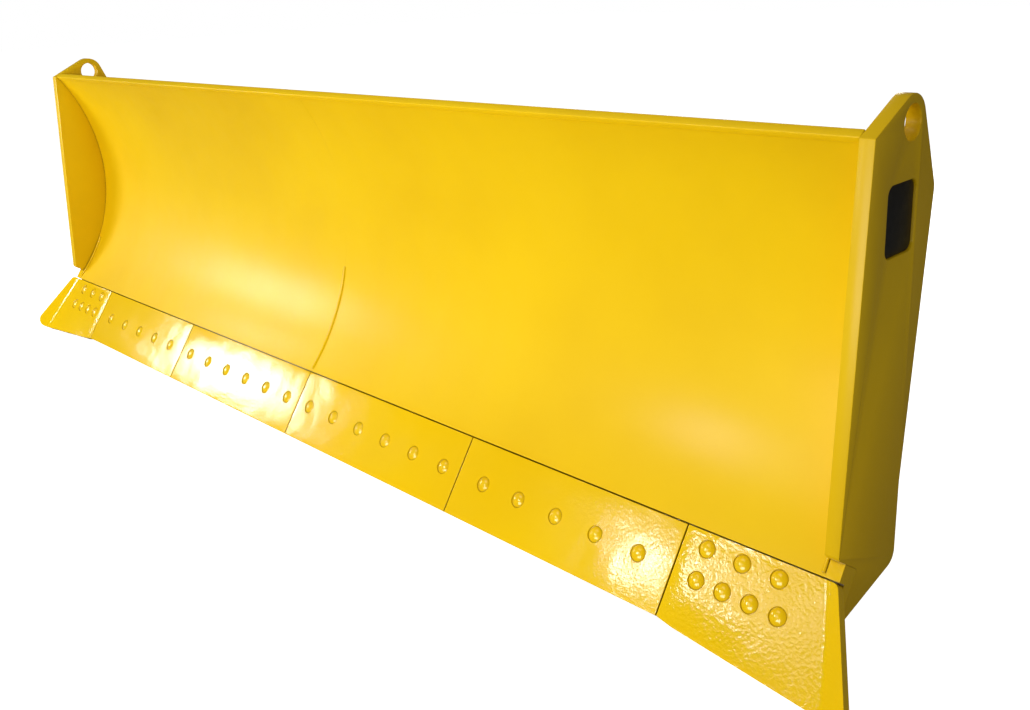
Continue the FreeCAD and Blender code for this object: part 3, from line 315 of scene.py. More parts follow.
def make_bushing_steel():
    """Bored steel: rings run round the bore, so the grain is drawn out across X."""
    material, tree, shader = new_material("bushing_steel")
    rings = object_noise(tree, 60.0, 3.0, 0.6, stretch=(60.0, 1.0, 1.0))
    shade = mix_colour(tree, rings, (0.38, 0.37, 0.35, 1), (0.62, 0.61, 0.58, 1))
    tree.links.new(shade, shader.inputs["Base Color"])
    gloss = map_range(tree, rings, 0.0, 1.0, 0.25, 0.45)
    tree.links.new(gloss, shader.inputs["Roughness"])
    scratch = add(tree, "ShaderNodeBump", {
        "Strength": 0.5, "Distance": 0.0003, "Height": rings})
    tree.links.new(scratch.outputs[0], shader.inputs["Normal"])
    shader.inputs["Metallic"].default_value = 0.45
    return material


badge_paint = make_badge_black()
bush_steel = make_bushing_steel()


# ---------------------------------------------------------------- geometry node helpers

GEOMETRY, MATERIAL, INTEGER = "NodeSocketGeometry", "NodeSocketMaterial", "NodeSocketInt"


def new_growth(name, inputs):
    """A Geometry Nodes tree that starts with a Geometry input and ends in a Material."""
    tree, given, out = new_group(name, "GeometryNodeTree", [
        ("Geometry", GEOMETRY, None), *inputs, ("Material", MATERIAL, None)], [
        ("Geometry", GEOMETRY)])
    return tree, given, out


def end_growth(tree, given, out, geometry):
    """Finish a tree: real geometry, one material."""
    real = add(tree, "GeometryNodeRealizeInstances", {0: geometry}).outputs[0]
    painted = add(tree, "GeometryNodeSetMaterial", {
        "Geometry": real, "Material": given["Material"]}).outputs[0]
    tree.links.new(painted, out.inputs["Geometry"])


def keep_one_material(mesh, material):
    """Put the same material on every face."""
    mesh.materials.clear()
    mesh.materials.append(material)
    mesh.polygons.foreach_set("material_index", [0] * len(mesh.polygons))


def round_and_shade(mesh, material, smooth):
    """One material, smooth shading, and sharp edges past an angle in degrees."""
    keep_one_material(mesh, material)
    mesh.shade_smooth()
    mesh.set_sharp_from_angle(angle=math.radians(smooth))


def finished_mesh(name, blank, material, smooth):
    """A plain mesh of an object with its modifiers applied; the object is removed."""
    bpy.context.view_layer.update()
    graph = bpy.context.evaluated_depsgraph_get()
    mesh = bpy.data.meshes.new_from_object(blank.evaluated_get(graph))
    bpy.data.objects.remove(blank)
    mesh.name = name
    round_and_shade(mesh, material, smooth)
    return mesh


def add_bevel(blank, width, segments, angle, clamp):
    """A bevel on edges sharper than an angle in degrees."""
    ease = blank.modifiers.new("ease", "BEVEL")
    ease.width, ease.segments = width, segments
    ease.limit_method = "ANGLE"
    ease.angle_limit = math.radians(angle)
    ease.use_clamp_overlap = clamp


def grow(name, tree, values, host=None, bevel=None, smooth=35.0):
    """Run a tree with its inputs and keep the result as a plain mesh."""
    data = host or bpy.data.meshes.new(name + "_seed")
    seed = place_data(name + "_seed", data)
    modifier = seed.modifiers.new("grow", "NODES")
    modifier.node_group = tree
    sockets = {item.name: item.identifier for item in tree.interface.items_tree
               if item.in_out == "INPUT"}
    for label, value in values.items():
        modifier[sockets[label]] = value
    if bevel:
        add_bevel(seed, *bevel, angle=40, clamp=False)
    return place_data(name, finished_mesh(name, seed, values["Material"], smooth))


def settle(piece, slot, *nodes):
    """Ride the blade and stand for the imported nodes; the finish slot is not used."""
    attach(piece, "root")
    if nodes:
        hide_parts(*nodes)
    return piece


# ---------------------------------------------------------------- rolled moldboard and rim

def rolled_sheet_tree():
    """A strip rolled about the moldboard's axis, buckled by a fraction of a millimetre."""
    tree, given, out = new_growth("rolled_sheet", [
        ("Inner radius", FLOAT, 0.8), ("Outer radius", FLOAT, 0.82), ("Start", FLOAT, 0.0),
        ("End", FLOAT, 1.0), ("First angle", FLOAT, 0.8), ("Sweep", FLOAT, 1.4),
        ("Axis", VECTOR, (0, 0, 0)), ("Steps along", INTEGER, 40),
        ("Steps round", INTEGER, 40), ("Buckle", FLOAT, 0.0), ("Seed", FLOAT, 0.0)])
    block = add(tree, "GeometryNodeMeshCube", {
        "Size": (1, 1, 1), "Vertices X": given["Steps along"], "Vertices Y": 2,
        "Vertices Z": given["Steps round"]}).outputs[0]
    spot = add(tree, "ShaderNodeSeparateXYZ", {
        0: add(tree, "GeometryNodeInputPosition").outputs[0]}).outputs
    share = [math_node(tree, "ADD", spot[axis], 0.5) for axis in range(3)]

    def between(low, high, part):
        return math_node(tree, "MULTIPLY_ADD", math_node(tree, "SUBTRACT", high, low),
                         part, low)

    along = between(given["Start"], given["End"], share[0])
    angle = math_node(tree, "MULTIPLY_ADD", given["Sweep"], share[2], given["First angle"])
    radius = between(given["Inner radius"], given["Outer radius"], share[1])
    where = add(tree, "ShaderNodeCombineXYZ", {0: along, 1: angle, 2: given["Seed"]}).outputs[0]
    noise = add(tree, "ShaderNodeTexNoise", {
        "Vector": where, "Scale": 2.2, "Detail": 1.0}).outputs[0]
    swell = math_node(tree, "MULTIPLY", math_node(tree, "SUBTRACT", noise, 0.5),
                      given["Buckle"])
    radius = math_node(tree, "ADD", radius, swell)
    behind = math_node(tree, "MULTIPLY", radius, math_node(tree, "SINE", angle))
    below = math_node(tree, "MULTIPLY", radius, math_node(tree, "COSINE", angle))
    rolled = add(tree, "ShaderNodeCombineXYZ", {
        0: along, 1: behind, 2: math_node(tree, "MULTIPLY", below, -1.0)}).outputs[0]
    placed = add(tree, "ShaderNodeVectorMath", {0: rolled, 1: given["Axis"]},
                 operation="ADD").outputs[0]
    moved = add(tree, "GeometryNodeSetPosition", {
        "Geometry": block, "Position": placed}).outputs[0]
    end_growth(tree, given, out, moved)
    return tree


ROLLED_SHEET = rolled_sheet_tree()


def make_moldboard():
    """The two rolled sheets and the bar along their top edge."""
    sheet_arc = 2 * HALF_ARC - RIM_ARC
    common = {"Axis": ROLL_AXIS, "Material": body_paint}
    for side, start, end, seed in (("left", -BLADE_INSIDE, 0.0, 3.1),
                                   ("right", 0.0, BLADE_INSIDE, 7.7)):
        piece = grow("moldboard_sheet_" + side, ROLLED_SHEET, {
            "Inner radius": ROLL_RADIUS, "Outer radius": ROLL_RADIUS + SHEET, "Start": start,
            "End": end, "First angle": TOE_ANGLE, "Sweep": sheet_arc, "Steps along": 49,
            "Steps round": 73, "Buckle": 0.0022, "Seed": seed, **common})
        settle(piece, "body_paint", "moldboard_" + side)
    rim = grow("moldboard_rim", ROLLED_SHEET, {
        "Inner radius": ROLL_RADIUS - RIM_PROUD,
        "Outer radius": ROLL_RADIUS + SHEET + RIM_BEHIND, "Start": -BLADE_INSIDE,
        "End": BLADE_INSIDE, "First angle": TOE_ANGLE + sheet_arc, "Sweep": RIM_ARC,
        "Steps along": 97, "Steps round": 2, "Buckle": 0.0012, "Seed": 1.3,
        **common}, bevel=(0.003, 3))
    settle(rim, "body_paint", "moldboard_top_rim")


# ---------------------------------------------------------------- welds

def weld_bead_tree():
    """A round bead along a curve, swelling once for each dab of the welder's rod."""
    tree, given, out = new_growth("weld_bead", [
        ("Bead", FLOAT, 0.006), ("Dab length", FLOAT, 0.012), ("Dab height", FLOAT, 0.16),
        ("Unevenness", FLOAT, 0.2), ("Sides", INTEGER, 8), ("Seed", INTEGER, 0)])
    step = math_node(tree, "DIVIDE", given["Dab length"], 4.0)
    line = add(tree, "GeometryNodeResampleCurve", {
        "Curve": given["Geometry"], "Length": step}, mode="LENGTH").outputs[0]
    travel = add(tree, "GeometryNodeSplineParameter").outputs["Length"]
    dab = math_node(tree, "FRACT", math_node(tree, "DIVIDE", travel, given["Dab length"]))
    hump = math_node(tree, "SINE", math_node(tree, "MULTIPLY", dab, math.pi))
    place = add(tree, "GeometryNodeInputPosition").outputs[0]
    noise = add(tree, "ShaderNodeTexNoise", {
        "Vector": place, "W": given["Seed"], "Scale": 35.0, "Detail": 2.0},
        noise_dimensions="4D").outputs[0]
    uneven = math_node(tree, "MULTIPLY", math_node(tree, "SUBTRACT", noise, 0.5),
                       given["Unevenness"])
    swell = math_node(tree, "MULTIPLY_ADD", hump, given["Dab height"], 1.0)
    fat = math_node(tree, "ADD", swell, uneven)
    swollen = add(tree, "GeometryNodeSetCurveRadius", {
        "Curve": line, "Radius": fat}).outputs[0]
    ring = add(tree, "GeometryNodeCurvePrimitiveCircle", {
        "Resolution": given["Sides"], "Radius": given["Bead"]}).outputs[0]
    solid = add(tree, "GeometryNodeCurveToMesh", {
        "Curve": swollen, "Profile Curve": ring, "Fill Caps": True})
    if "Scale" in solid.inputs:
        tree.links.new(add(tree, "GeometryNodeInputRadius").outputs[0], solid.inputs["Scale"])
    end_growth(tree, given, out, solid.outputs[0])
    return tree


WELD_BEAD = weld_bead_tree()


def weld(name, paths, bead, seed, dab, sides=8, uneven=0.25, nodes=()):
    """Weld beads along several paths, each a list of points."""
    curve = bpy.data.curves.new(name + "_line", "CURVE")
    curve.dimensions = "3D"
    for path in paths:
        spline = curve.splines.new("POLY")
        spline.points.add(len(path) - 1)
        for point, place in zip(spline.points, path):
            point.co = (*place, 1)
            point.radius = 1
    piece = grow(name, WELD_BEAD, {
        "Bead": bead, "Dab length": dab, "Seed": seed, "Sides": sides,
        "Unevenness": uneven, "Material": weld_paint}, host=curve, smooth=60.0)
    return settle(piece, "body_paint", *nodes)


def roll_point(x, angle, radius):
    """A point at an angle round the moldboard's axis."""
    return ROLL_AXIS + Vector((x, radius * math.sin(angle), -radius * math.cos(angle)))


def moldboard_back(x, z):
    """The point on the moldboard's back face at a height."""
    radius = ROLL_RADIUS + SHEET
    rise = z - ROLL_AXIS.z
    return Vector((x, ROLL_AXIS.y + math.sqrt(radius * radius - rise * rise), z))


def back_arc(x, low, high, count=24):
    """Points up the moldboard's back between two heights."""
    return [moldboard_back(x, low + (high - low) * step / (count - 1)) for step in range(count)]


# How far round the roll the face welds run up from the toe line, and where their middles lie:
# the seam's just under the face and the corners' just over it.
SEAM_SWEEP = math.radians(30)
SEAM_SINK = 0.0005
CORNER_SWEEP = math.radians(17)
CORNER_RISE = 0.001
# How far the lines of the box beads are set in from the plates' edges.
BURIED = 0.001


def make_welds():
    """The seam down the face, and the beads along both box beams."""
    seam = [roll_point(0, TOE_ANGLE + SEAM_SWEEP * step / 40, ROLL_RADIUS + SEAM_SINK)
            for step in range(1, 41)]
    weld("seam_weld", [seam], bead=0.0060, seed=4, dab=0.010, uneven=0.45,
         nodes=("moldboard_seam_weld",))

    inside = BLADE_INSIDE - BURIED
    across = (-inside, inside)
    for level, seed, low_name, high_name, back_name in (
            ("lower", 11, "lower_box_floor", "lower_box_roof", "lower_box_back"),
            ("upper", 17, "upper_box_floor", "upper_box_roof", "upper_box_back")):
        floor_low, floor_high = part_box(low_name)
        roof_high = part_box(high_name)[1]
        back_low, back_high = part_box(back_name)
        heights = [roof_high.z]
        if level == "upper":
            heights += [floor_low.z, floor_high.z]
        paths = [[moldboard_back(x, z) for x in across] for z in heights]
        paths.append([Vector((x, floor_high.y, back_low.z + BURIED)) for x in across])
        if level == "lower":
            paths.append([Vector((x, roof_high.y, back_high.z - BURIED)) for x in across])
        else:
            paths.append([Vector((x, back_high.y - BURIED, back_high.z)) for x in across])
        weld(level + "_box_welds", paths, bead=0.006, seed=seed, dab=0.014, sides=6)


def make_rib_welds():
    """Beads down both sides of each rib, over its foot and under its head."""
    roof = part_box("lower_box_roof")[1]
    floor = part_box("upper_box_floor")[0]
    paths = []
    for number in range(1, 7):
        low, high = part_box("back_rib_%d" % number)
        for x in (low.x, high.x):
            paths.append(back_arc(x, roof.z, floor.z))
            foot = moldboard_back(x, roof.z)
            paths.append([foot, Vector((x, roof.y, roof.z))])
            head = moldboard_back(x, floor.z)
            paths.append([head, Vector((x, high.y, floor.z))])
    weld("rib_welds", paths, bead=0.006, seed=23, dab=0.013, sides=6)


def make_clevis_welds():
    """Beads up both sides of each clevis ear, over its foot and under its top."""
    arm, brace = [], []
    for side in ("left", "right"):
        for ear in ("inner", "outer"):
            for paths, kind, wall in ((arm, "push_arm_ear", "lower_box_back"),
                                      (brace, "brace_ear", "upper_box_back")):
                low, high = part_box("%s_%s_%s" % (kind, side, ear))
                wall_low, wall_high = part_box(wall)
                bottom = max(low.z, wall_low.z)
                top = min(high.z, wall_high.z)
                y = wall_high.y
                paths.append([Vector((x, y, z)) for x, z in (
                    (low.x, bottom), (low.x, top), (high.x, top), (high.x, bottom),
                    (low.x, bottom))])
    weld("push_arm_welds", arm, bead=0.009, seed=31, dab=0.014)
    weld("brace_welds", brace, bead=0.007, seed=37, dab=0.012)


def make_plate_welds():
    """Beads where the boxes and the moldboard's back meet the end plates."""
    low_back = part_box("lower_box_back")
    high_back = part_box("upper_box_back")
    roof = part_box("upper_box_roof")[1]
    for side, sign in SIDES:
        x = sign * BLADE_INSIDE
        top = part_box("moldboard_" + side)[1].z
        paths = [
            [Vector((x, low_back[1].y, low_back[0].z)),
             Vector((x, low_back[1].y, low_back[1].z)),
             moldboard_back(x, low_back[1].z)],
            back_arc(x, low_back[1].z, high_back[0].z),
            [moldboard_back(x, high_back[0].z),
             Vector((x, high_back[1].y, high_back[0].z)),
             Vector((x, high_back[1].y, high_back[1].z)),
             moldboard_back(x, roof.z)],
            back_arc(x, roof.z, top - 0.03, 10)]
        weld("end_plate_welds_" + side, paths, bead=0.007, seed=41 + sign, dab=0.013, sides=6)


def make_face_welds():
    """A short bead up each lower corner of the moldboard's face."""
    paths = []
    for _, sign in SIDES:
        foot = sign * (BLADE_INSIDE - 0.016)
        paths.append([roll_point(foot + sign * 0.010 * step / 24,
                                 TOE_ANGLE + CORNER_SWEEP * (1 - step / 24),
                                 ROLL_RADIUS - CORNER_RISE)
                      for step in range(24)])
    weld("face_corner_welds", paths, bead=0.0050, seed=53, dab=0.009, uneven=0.5)


# ---------------------------------------------------------------- plow bolts and nuts

def turned(tree, vertices, rings, fills):
    """A unit cylinder with rings down its side and over its ends."""
    return add(tree, "GeometryNodeMeshCylinder", {
        "Vertices": vertices, "Side Segments": rings, "Fill Segments": fills,
        "Radius": 1.0, "Depth": 1.0}, fill_type="TRIANGLE_FAN").outputs[0]


def plow_bolt_tree():
    """A row of plow bolts: domed, coned heads and threaded ends, none set quite alike."""
    tree, given, out = new_growth("plow_bolt_row", [
        ("Count", INTEGER, 6), ("First", VECTOR, (0, 0, 0)), ("Step", VECTOR, (0.15, 0, 0)),
        ("Lean", FLOAT, 0.95), ("Head radius", FLOAT, 0.023), ("Rim depth", FLOAT, 0.0029),
        ("Crown", FLOAT, 0.0045), ("Cone depth", FLOAT, 0.013), ("Cone radius", FLOAT, 0.016),
        ("Shank radius", FLOAT, 0.0127), ("Length", FLOAT, 0.108), ("Thread", FLOAT, 0.0032),
        ("Tilt", FLOAT, 0.015), ("Seed", INTEGER, 0)])
    blank = turned(tree, 36, 3, 8)
    spot = add(tree, "ShaderNodeSeparateXYZ", {
        0: add(tree, "GeometryNodeInputPosition").outputs[0]}).outputs
    down = math_node(tree, "SUBTRACT", 0.5, spot[2])
    out_share = add(tree, "ShaderNodeVectorMath", {0: add(tree, "ShaderNodeCombineXYZ", {
        0: spot[0], 1: spot[1], 2: 0.0}).outputs[0]}, operation="LENGTH").outputs["Value"]
    wide = math_node(tree, "MULTIPLY_ADD", math_node(
        tree, "SUBTRACT", given["Cone radius"], given["Head radius"]), down,
        given["Head radius"])
    drop = math_node(tree, "MULTIPLY_ADD", math_node(
        tree, "SUBTRACT", given["Cone depth"], given["Rim depth"]), down, given["Rim depth"])
    fall = math_node(tree, "SUBTRACT", 1.0, math_node(tree, "POWER", out_share, 2.6))
    dome = math_node(tree, "MULTIPLY", fall, math_node(
        tree, "ADD", given["Crown"], given["Rim depth"]))
    on_top = math_node(tree, "GREATER_THAN", spot[2], 0.499)
    height = math_node(tree, "SUBTRACT", math_node(tree, "MULTIPLY", dome, on_top), drop)
    shaped = add(tree, "ShaderNodeCombineXYZ", {
        0: math_node(tree, "MULTIPLY", spot[0], wide),
        1: math_node(tree, "MULTIPLY", spot[1], wide), 2: height}).outputs[0]
    head = add(tree, "GeometryNodeSetPosition", {
        "Geometry": blank, "Position": shaped}).outputs[0]

    rod = turned(tree, 20, 44, 2)
    angle = math_node(tree, "ARCTAN2", spot[1], spot[0])
    run = math_node(tree, "SUBTRACT", given["Length"], given["Cone depth"])
    depth = math_node(tree, "MULTIPLY_ADD", down, run, given["Cone depth"])
    groove = math_node(tree, "SINE", math_node(tree, "ADD", angle, math_node(
        tree, "MULTIPLY", depth, math_node(tree, "DIVIDE", 2 * math.pi, given["Thread"]))))
    bite = math_node(tree, "MULTIPLY_ADD", groove, 0.0006, -0.0006)
    threaded = math_node(tree, "GREATER_THAN", down, 0.55)
    round_off = math_node(tree, "MULTIPLY", math_node(tree, "GREATER_THAN", down, 0.985), -0.0018)
    girth = math_node(tree, "ADD", math_node(tree, "MULTIPLY_ADD", bite, threaded,
                                             given["Shank radius"]), round_off)
    rod_spot = add(tree, "ShaderNodeCombineXYZ", {
        0: math_node(tree, "MULTIPLY", spot[0], girth),
        1: math_node(tree, "MULTIPLY", spot[1], girth),
        2: math_node(tree, "MULTIPLY", depth, -1.0)}).outputs[0]
    shank = add(tree, "GeometryNodeSetPosition", {
        "Geometry": rod, "Position": rod_spot}).outputs[0]
    bolt = add(tree, "GeometryNodeJoinGeometry")
    tree.links.new(head, bolt.inputs[0])
    tree.links.new(shank, bolt.inputs[0])

    row = add(tree, "GeometryNodeMeshLine", {
        "Count": given["Count"], "Start Location": given["First"],
        "Offset": given["Step"]}).outputs[0]
    back = math_node(tree, "MULTIPLY", given["Tilt"], -1.0)
    random = [add(tree, "FunctionNodeRandomValue", {
        2: back, 3: given["Tilt"], "Seed": math_node(tree, "ADD", given["Seed"], float(extra))},
        data_type="FLOAT").outputs[1] for extra in (0, 50)]
    turn = add(tree, "ShaderNodeCombineXYZ", {
        0: math_node(tree, "ADD", given["Lean"], random[0]), 1: random[1], 2: 0.0}).outputs[0]
    many = add(tree, "GeometryNodeInstanceOnPoints", {
        "Points": row, "Instance": bolt.outputs[0], "Rotation": turn}).outputs[0]
    end_growth(tree, given, out, many)
    return tree


PLOW_BOLT_ROW = plow_bolt_tree()


def nut_row_tree():
    """A row of heavy nuts on flat washers."""
    tree, given, out = new_growth("nut_row", [
        ("Count", INTEGER, 6), ("First", VECTOR, (0, 0, 0)), ("Step", VECTOR, (0.15, 0, 0)),
        ("Lean", FLOAT, 0.95), ("Across flats", FLOAT, 0.0413), ("Nut", FLOAT, 0.025),
        ("Washer radius", FLOAT, 0.025), ("Washer", FLOAT, 0.005), ("Depth", FLOAT, 0.07),
        ("Seed", INTEGER, 0)])

    def disc(vertices, radius, thick, depth):
        body = add(tree, "GeometryNodeMeshCylinder", {
            "Vertices": vertices, "Radius": radius, "Depth": thick}).outputs[0]
        middle = math_node(tree, "MULTIPLY_ADD", thick, 0.5, depth)
        shift = add(tree, "ShaderNodeCombineXYZ", {
            0: 0.0, 1: 0.0, 2: math_node(tree, "MULTIPLY", middle, -1.0)}).outputs[0]
        return add(tree, "GeometryNodeTransform", {
            "Geometry": body, "Translation": shift}).outputs[0]

    corner = math_node(tree, "MULTIPLY", given["Across flats"], 0.5 / math.cos(math.pi / 6))
    washer = disc(32, given["Washer radius"], given["Washer"], given["Depth"])
    nut = disc(6, corner, given["Nut"],
               math_node(tree, "ADD", given["Depth"], given["Washer"]))
    row = add(tree, "GeometryNodeMeshLine", {
        "Count": given["Count"], "Start Location": given["First"],
        "Offset": given["Step"]}).outputs[0]
    turn = add(tree, "ShaderNodeCombineXYZ", {0: given["Lean"], 1: 0.0, 2: 0.0}).outputs[0]
    spin = add(tree, "FunctionNodeRandomValue", {
        2: 0.0, 3: math.pi / 3, "Seed": given["Seed"]}, data_type="FLOAT").outputs[1]
    spun = add(tree, "ShaderNodeCombineXYZ", {0: 0.0, 1: 0.0, 2: spin}).outputs[0]
    joined = add(tree, "GeometryNodeJoinGeometry")
    for part in (nut, washer):
        tree.links.new(part, joined.inputs[0])
    many = add(tree, "GeometryNodeInstanceOnPoints", {
        "Points": row, "Instance": joined.outputs[0], "Rotation": turn}).outputs[0]
    turned_nuts = add(tree, "GeometryNodeRotateInstances", {
        "Instances": many, "Rotation": spun, "Local Space": True}).outputs[0]
    end_growth(tree, given, out, turned_nuts)
    return tree


NUT_ROW = nut_row_tree()
HEAD_RADIUS = 0.023
ROW_DROP = 0.126
# Each end bit's rows: bolts, pitch, and drop below the toe line.
BIT_ROWS = ((4, 0.079, 0.1295), (3, 0.105, 0.0455))
LEAN_TURN = math.pi / 2 - EDGE_LEAN


def bolt_rows():
    """Every row of plow bolts: node, count, first point on the face, step along the blade."""
    rows = []
    for side, sign in SIDES:
        for kind in ("centre", "outer", "bit"):
            node = "plow_bolts_%s_%s" % (kind, side)
            low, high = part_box(node)
            near = min(abs(low.x), abs(high.x)) + HEAD_RADIUS
            far = max(abs(low.x), abs(high.x)) - HEAD_RADIUS
            if kind == "bit":
                parts = BIT_ROWS
            else:
                count = 6 if kind == "centre" else 5
                parts = ((count, (far - near) / (count - 1), ROW_DROP),)
            for count, pitch, drop in parts:
                first = TOE + DOWN_FACE * drop + Vector((sign * near, 0, 0))
                rows.append((node, count, first, Vector((sign * pitch, 0, 0))))
    return rows


def join_pieces(name, pieces, material):
    """Several pieces' meshes as one."""
    whole = bmesh.new()
    for piece in pieces:
        whole.from_mesh(piece.data)
    mesh = bpy.data.meshes.new(name)
    whole.to_mesh(mesh)
    whole.free()
    keep_one_material(mesh, material)
    for piece in pieces:
        bpy.data.objects.remove(piece)
    return place_data(name, mesh)


def make_bolts():
    """Plow bolts for each wear part, and all their nuts and washers as one piece."""
    made, nuts = {}, []
    for number, (node, count, first, step) in enumerate(bolt_rows()):
        values = {"Count": count, "First": first, "Step": step, "Lean": LEAN_TURN,
                  "Seed": number * 7 + 3}
        made.setdefault(node, []).append(grow("heads_%d" % number, PLOW_BOLT_ROW, {
            **values, "Material": bolt_paint}, smooth=50.0))
        nuts.append(grow("nuts_%d" % number, NUT_ROW, {
            **values, "Material": bolt_paint}, bevel=(0.0016, 2), smooth=30.0))
    for node, rows in made.items():
        settle(join_pieces(node.replace("plow_bolts", "plow_heads"), rows, bolt_paint),
               "bolt_paint", node)
    settle(join_pieces("seat_nuts", nuts, bolt_paint), "fastener_steel", "edge_bolt_nuts",
           "edge_bolt_washers")


# ---------------------------------------------------------------- plates with eased edges

def merged_shape(node):
    """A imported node's mesh with its loose triangles merged into flat faces."""
    shape = bmesh.new()
    shape.from_mesh(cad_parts[node].data)
    bmesh.ops.remove_doubles(shape, verts=shape.verts, dist=2e-5)
    bmesh.ops.dissolve_limit(shape, angle_limit=math.radians(0.5), verts=shape.verts,
                             edges=shape.edges)
    return shape


def as_mesh(shape, name):
    """A mesh from a bmesh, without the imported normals."""
    mesh = bpy.data.meshes.new(name)
    shape.to_mesh(mesh)
    shape.free()
    for attribute in list(mesh.attributes):
        if attribute.name == "custom_normal":
            mesh.attributes.remove(attribute)
    return mesh


def eased(node, material, slot, bevel):
    """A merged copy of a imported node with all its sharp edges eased."""
    blank = place_data(node + "_blank", as_mesh(merged_shape(node), node + "_eased"))
    add_bevel(blank, bevel, 2, angle=32, clamp=True)
    name = node + "_skin"
    return settle(place_data(name, finished_mesh(name, blank, material, 30)), slot, node)


def touches_hole(edge):
    """True for an edge that shares a corner with the short chords of a bolt hole."""
    return any(other is not edge and other.calc_length() < 0.010
               for vertex in edge.verts for other in vertex.link_edges)


def outlined(node, material, name, least_angle):
    """A merged copy of a wear part with only its long outer edges rounded over."""
    shape = merged_shape(node)
    long_edges = [edge for edge in shape.edges if len(edge.link_faces) == 2
                  and edge.calc_length() > 0.012
                  and edge.calc_face_angle() > math.radians(least_angle)
                  and not touches_hole(edge)]
    bmesh.ops.bevel(shape, geom=long_edges, offset=0.0028, segments=3, profile=0.5,
                    affect="EDGES", clamp_overlap=False)
    mesh = as_mesh(shape, name)
    round_and_shade(mesh, material, 32)
    return settle(place_data(name, mesh), "wear_paint", node)


def repaint(node, material):
    """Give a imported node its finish."""
    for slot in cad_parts[node].material_slots:
        slot.link = "OBJECT"
        slot.material = material


def make_plates():
    """End plates, clevis ears, bushings, badges, box plates and ribs."""
    for side in ("left", "right"):
        eased("end_plate_" + side, shaded_plate_paint, "body_paint", 0.0022)
        for ear in ("inner", "outer"):
            eased("push_arm_ear_%s_%s" % (side, ear), back_paint, "body_paint", 0.0025)
            eased("brace_ear_%s_%s" % (side, ear), back_paint, "body_paint", 0.0025)
            eased("push_arm_bushing_%s_%s" % (side, ear), bush_steel, "bushing_steel", 0.0012)
        eased("badge_plate_" + side, badge_paint, "badge_black", 0.0012)
    for node in ("lower_box_back", "lower_box_floor", "lower_box_roof", "upper_box_back",
                 "upper_box_floor", "upper_box_roof"):
        eased(node, back_paint, "body_paint", 0.0015)
    for number in range(1, 7):
        eased("back_rib_%d" % number, back_paint, "body_paint", 0.0015)


def make_wear_parts():
    """Cutting edges, and end bits whose shallow bend is rounded too."""
    for side in ("left", "right"):
        for kind, paint, least_angle in (
                ("cutting_edge_centre", wear_paint, 30), ("cutting_edge_outer", wear_paint, 30),
                ("end_bit", bit_paint, 12)):
            outlined("%s_%s" % (kind, side), paint, "%s_skin_%s" % (kind, side), least_angle)


def repaint_rest():
    """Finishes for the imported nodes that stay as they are."""
    for side in ("left", "right"):
        for web in ("inner", "outer"):
            repaint("lower_box_web_%s_%s" % (side, web), back_paint)
            repaint("upper_box_web_%s_%s" % (side, web), back_paint)
    repaint("edge_seat_bar", wear_paint)


# ---------------------------------------------------------------- stage, light and camera

def make_floor():
    """A pale floor that is near white where it is seen and dim where the paint mirrors it."""
    size = 40.0
    mesh = bpy.data.meshes.new("floor")
    mesh.from_pydata([(-size, -size, 0), (size, -size, 0), (size, size, 0), (-size, size, 0)],
                     [], [(0, 1, 2, 3)])
    floor = place_data("floor", mesh)
    material, tree, shader = new_material("pale_floor")
    cloud = object_noise(tree, 0.6, 3.0)
    shade = mix_colour(tree, cloud, (0.80, 0.80, 0.80, 1), (0.84, 0.84, 0.83, 1))
    tree.links.new(shade, shader.inputs["Base Color"])
    shader.inputs["Roughness"].default_value = 0.9
    shader.inputs["Specular IOR Level"].default_value = 0.1
    dim = add(tree, "ShaderNodeBsdfDiffuse", {"Color": (0.42, 0.42, 0.42, 1)})
    dark = add(tree, "ShaderNodeBsdfDiffuse", {"Color": (0.08, 0.08, 0.08, 1)})
    path = add(tree, "ShaderNodeLightPath").outputs
    mirrored = add(tree, "ShaderNodeMixShader", {
        0: path["Is Glossy Ray"], 1: dim.outputs[0], 2: dark.outputs[0]})
    mixed = add(tree, "ShaderNodeMixShader", {
        0: path["Is Camera Ray"], 1: mirrored.outputs[0], 2: shader.outputs[0]})
    output = tree.nodes["Material Output"]
    tree.links.new(mixed.outputs[0], output.inputs["Surface"])
    shader.inputs["Emission Color"].default_value = (1, 1, 1, 1)
    shader.inputs["Emission Strength"].default_value = 0.80
    mesh.materials.append(material)


def make_world():
    """A white studio: bright where it is seen, soft for fill, dim and warm in reflections."""
    world = bpy.data.worlds.new("studio")
    bpy.context.scene.world = world
    world.use_nodes = True
    tree = world.node_tree
    fill = tree.nodes["Background"]
    fill.inputs["Color"].default_value = (1, 1, 1, 1)
    fill.inputs["Strength"].default_value = 0.34
    shine = add(tree, "ShaderNodeBackground", {"Color": (1, 0.86, 0.45, 1), "Strength": 0.05})
    bright = add(tree, "ShaderNodeBackground", {"Color": (1, 1, 1, 1), "Strength": 1.0})
    path = add(tree, "ShaderNodeLightPath").outputs
    mirrored = add(tree, "ShaderNodeMixShader", {
        0: path["Is Glossy Ray"], 1: fill.outputs[0], 2: shine.outputs[0]})
    mixed = add(tree, "ShaderNodeMixShader", {
        0: path["Is Camera Ray"], 1: mirrored.outputs[0], 2: bright.outputs[0]})
    tree.links.new(mixed.outputs[0], tree.nodes["World Output"].inputs["Surface"])


def lamp(name, place, turn, wide, tall, watts):
    """A rectangular light that the camera doesn't see."""
    light = bpy.data.lights.new(name, "AREA")
    light.shape = "RECTANGLE"
    light.size, light.size_y = wide, tall
    light.energy = watts
    lit = place_data(name, light)
    lit.location = place
    lit.rotation_euler = turn.to_euler()
    lit.visible_camera = False


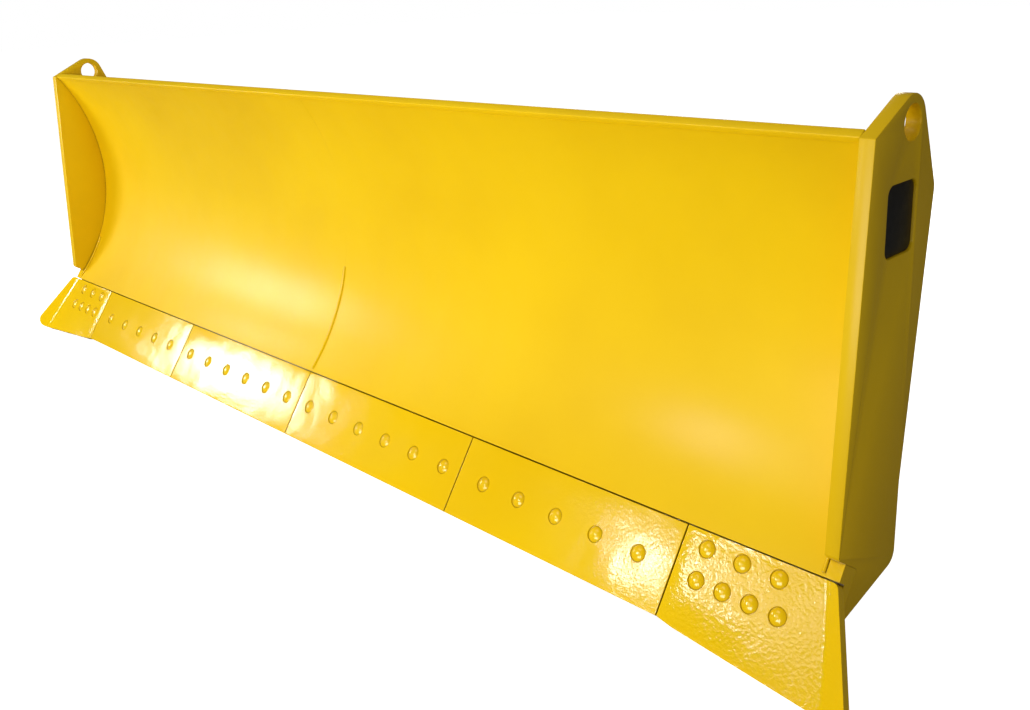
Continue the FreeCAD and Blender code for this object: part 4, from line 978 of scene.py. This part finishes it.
def softbox(name, place, aim, wide, tall, watts):
    """A light turned towards a point."""
    lamp(name, place, (Vector(aim) - Vector(place)).to_track_quat("-Z", "Y"), wide, tall, watts)


def panel(name, place, across, down, watts):
    """A light that faces the blade, set out by its two sides."""
    x = Vector(across).normalized()
    z = x.cross(-Vector(down)).normalized()
    if z.dot(Vector(place)) < 0:
        x, z = -x, -z
    turn = Matrix((x, z.cross(x), z)).transposed()
    lamp(name, place, turn, Vector(across).length, Vector(down).length, watts)


def make_lights():
    """A broad key, a soft sky, small lights that the gloss mirrors, and fill for the back."""
    # place, what it points at or its two sides, size, watts
    softbox("key", (1.1, -6.4, 1.1), (0.0, 0, 0.8), 3.6, 2.4, 270)
    softbox("sky", (-0.6, -2.6, 5.2), (0.0, -0.1, 0.6), 3.0, 2.0, 40)
    panel("glint", (-3.78, -2.12, 1.33), (1.12, -0.31, 0.21), (0, -0.28, -0.41), 34)
    panel("toe_glow", (-3.75, -1.66, 1.90), (0.62, -0.12, 0.12), (0, -0.22, -0.16), 11)
    panel("bit_glint", (0.15, -2.42, 1.50), (0.30, -0.06, 0.04), (0, -0.20, -0.31), 9)
    panel("bit_sheen", (0.62, -2.50, 1.58), (1.0, -0.20, 0.13), (0, -0.26, -0.40), 4)
    softbox("rear", (-2.6, 5.6, 2.8), (0.0, 0.2, 0.7), 3.4, 2.4, 240)
    softbox("right_side", (6.6, 0.9, 2.4), (2.2, 0.1, 0.6), 2.4, 2.0, 6)


def make_camera():
    """A three-quarter view from the right, a little above the top rim."""
    data = bpy.data.cameras.new("camera")
    camera = place_data("camera", data)
    camera.location = (3.162, -2.1188, 1.6335)
    camera.rotation_euler = (math.radians(73.112), math.radians(2.491), math.radians(44.909))
    data.sensor_width = 36.0
    data.lens = 35.515
    data.shift_x = -0.0048
    data.shift_y = -0.0596
    data.clip_end = 200
    bpy.context.scene.camera = camera


make_camera()
make_world()
make_lights()
make_floor()
make_moldboard()
make_welds()
make_rib_welds()
make_clevis_welds()
make_plate_welds()
make_face_welds()
make_bolts()
make_plates()
make_wear_parts()
repaint_rest()
bpy.context.scene.view_settings.view_transform = "Standard"
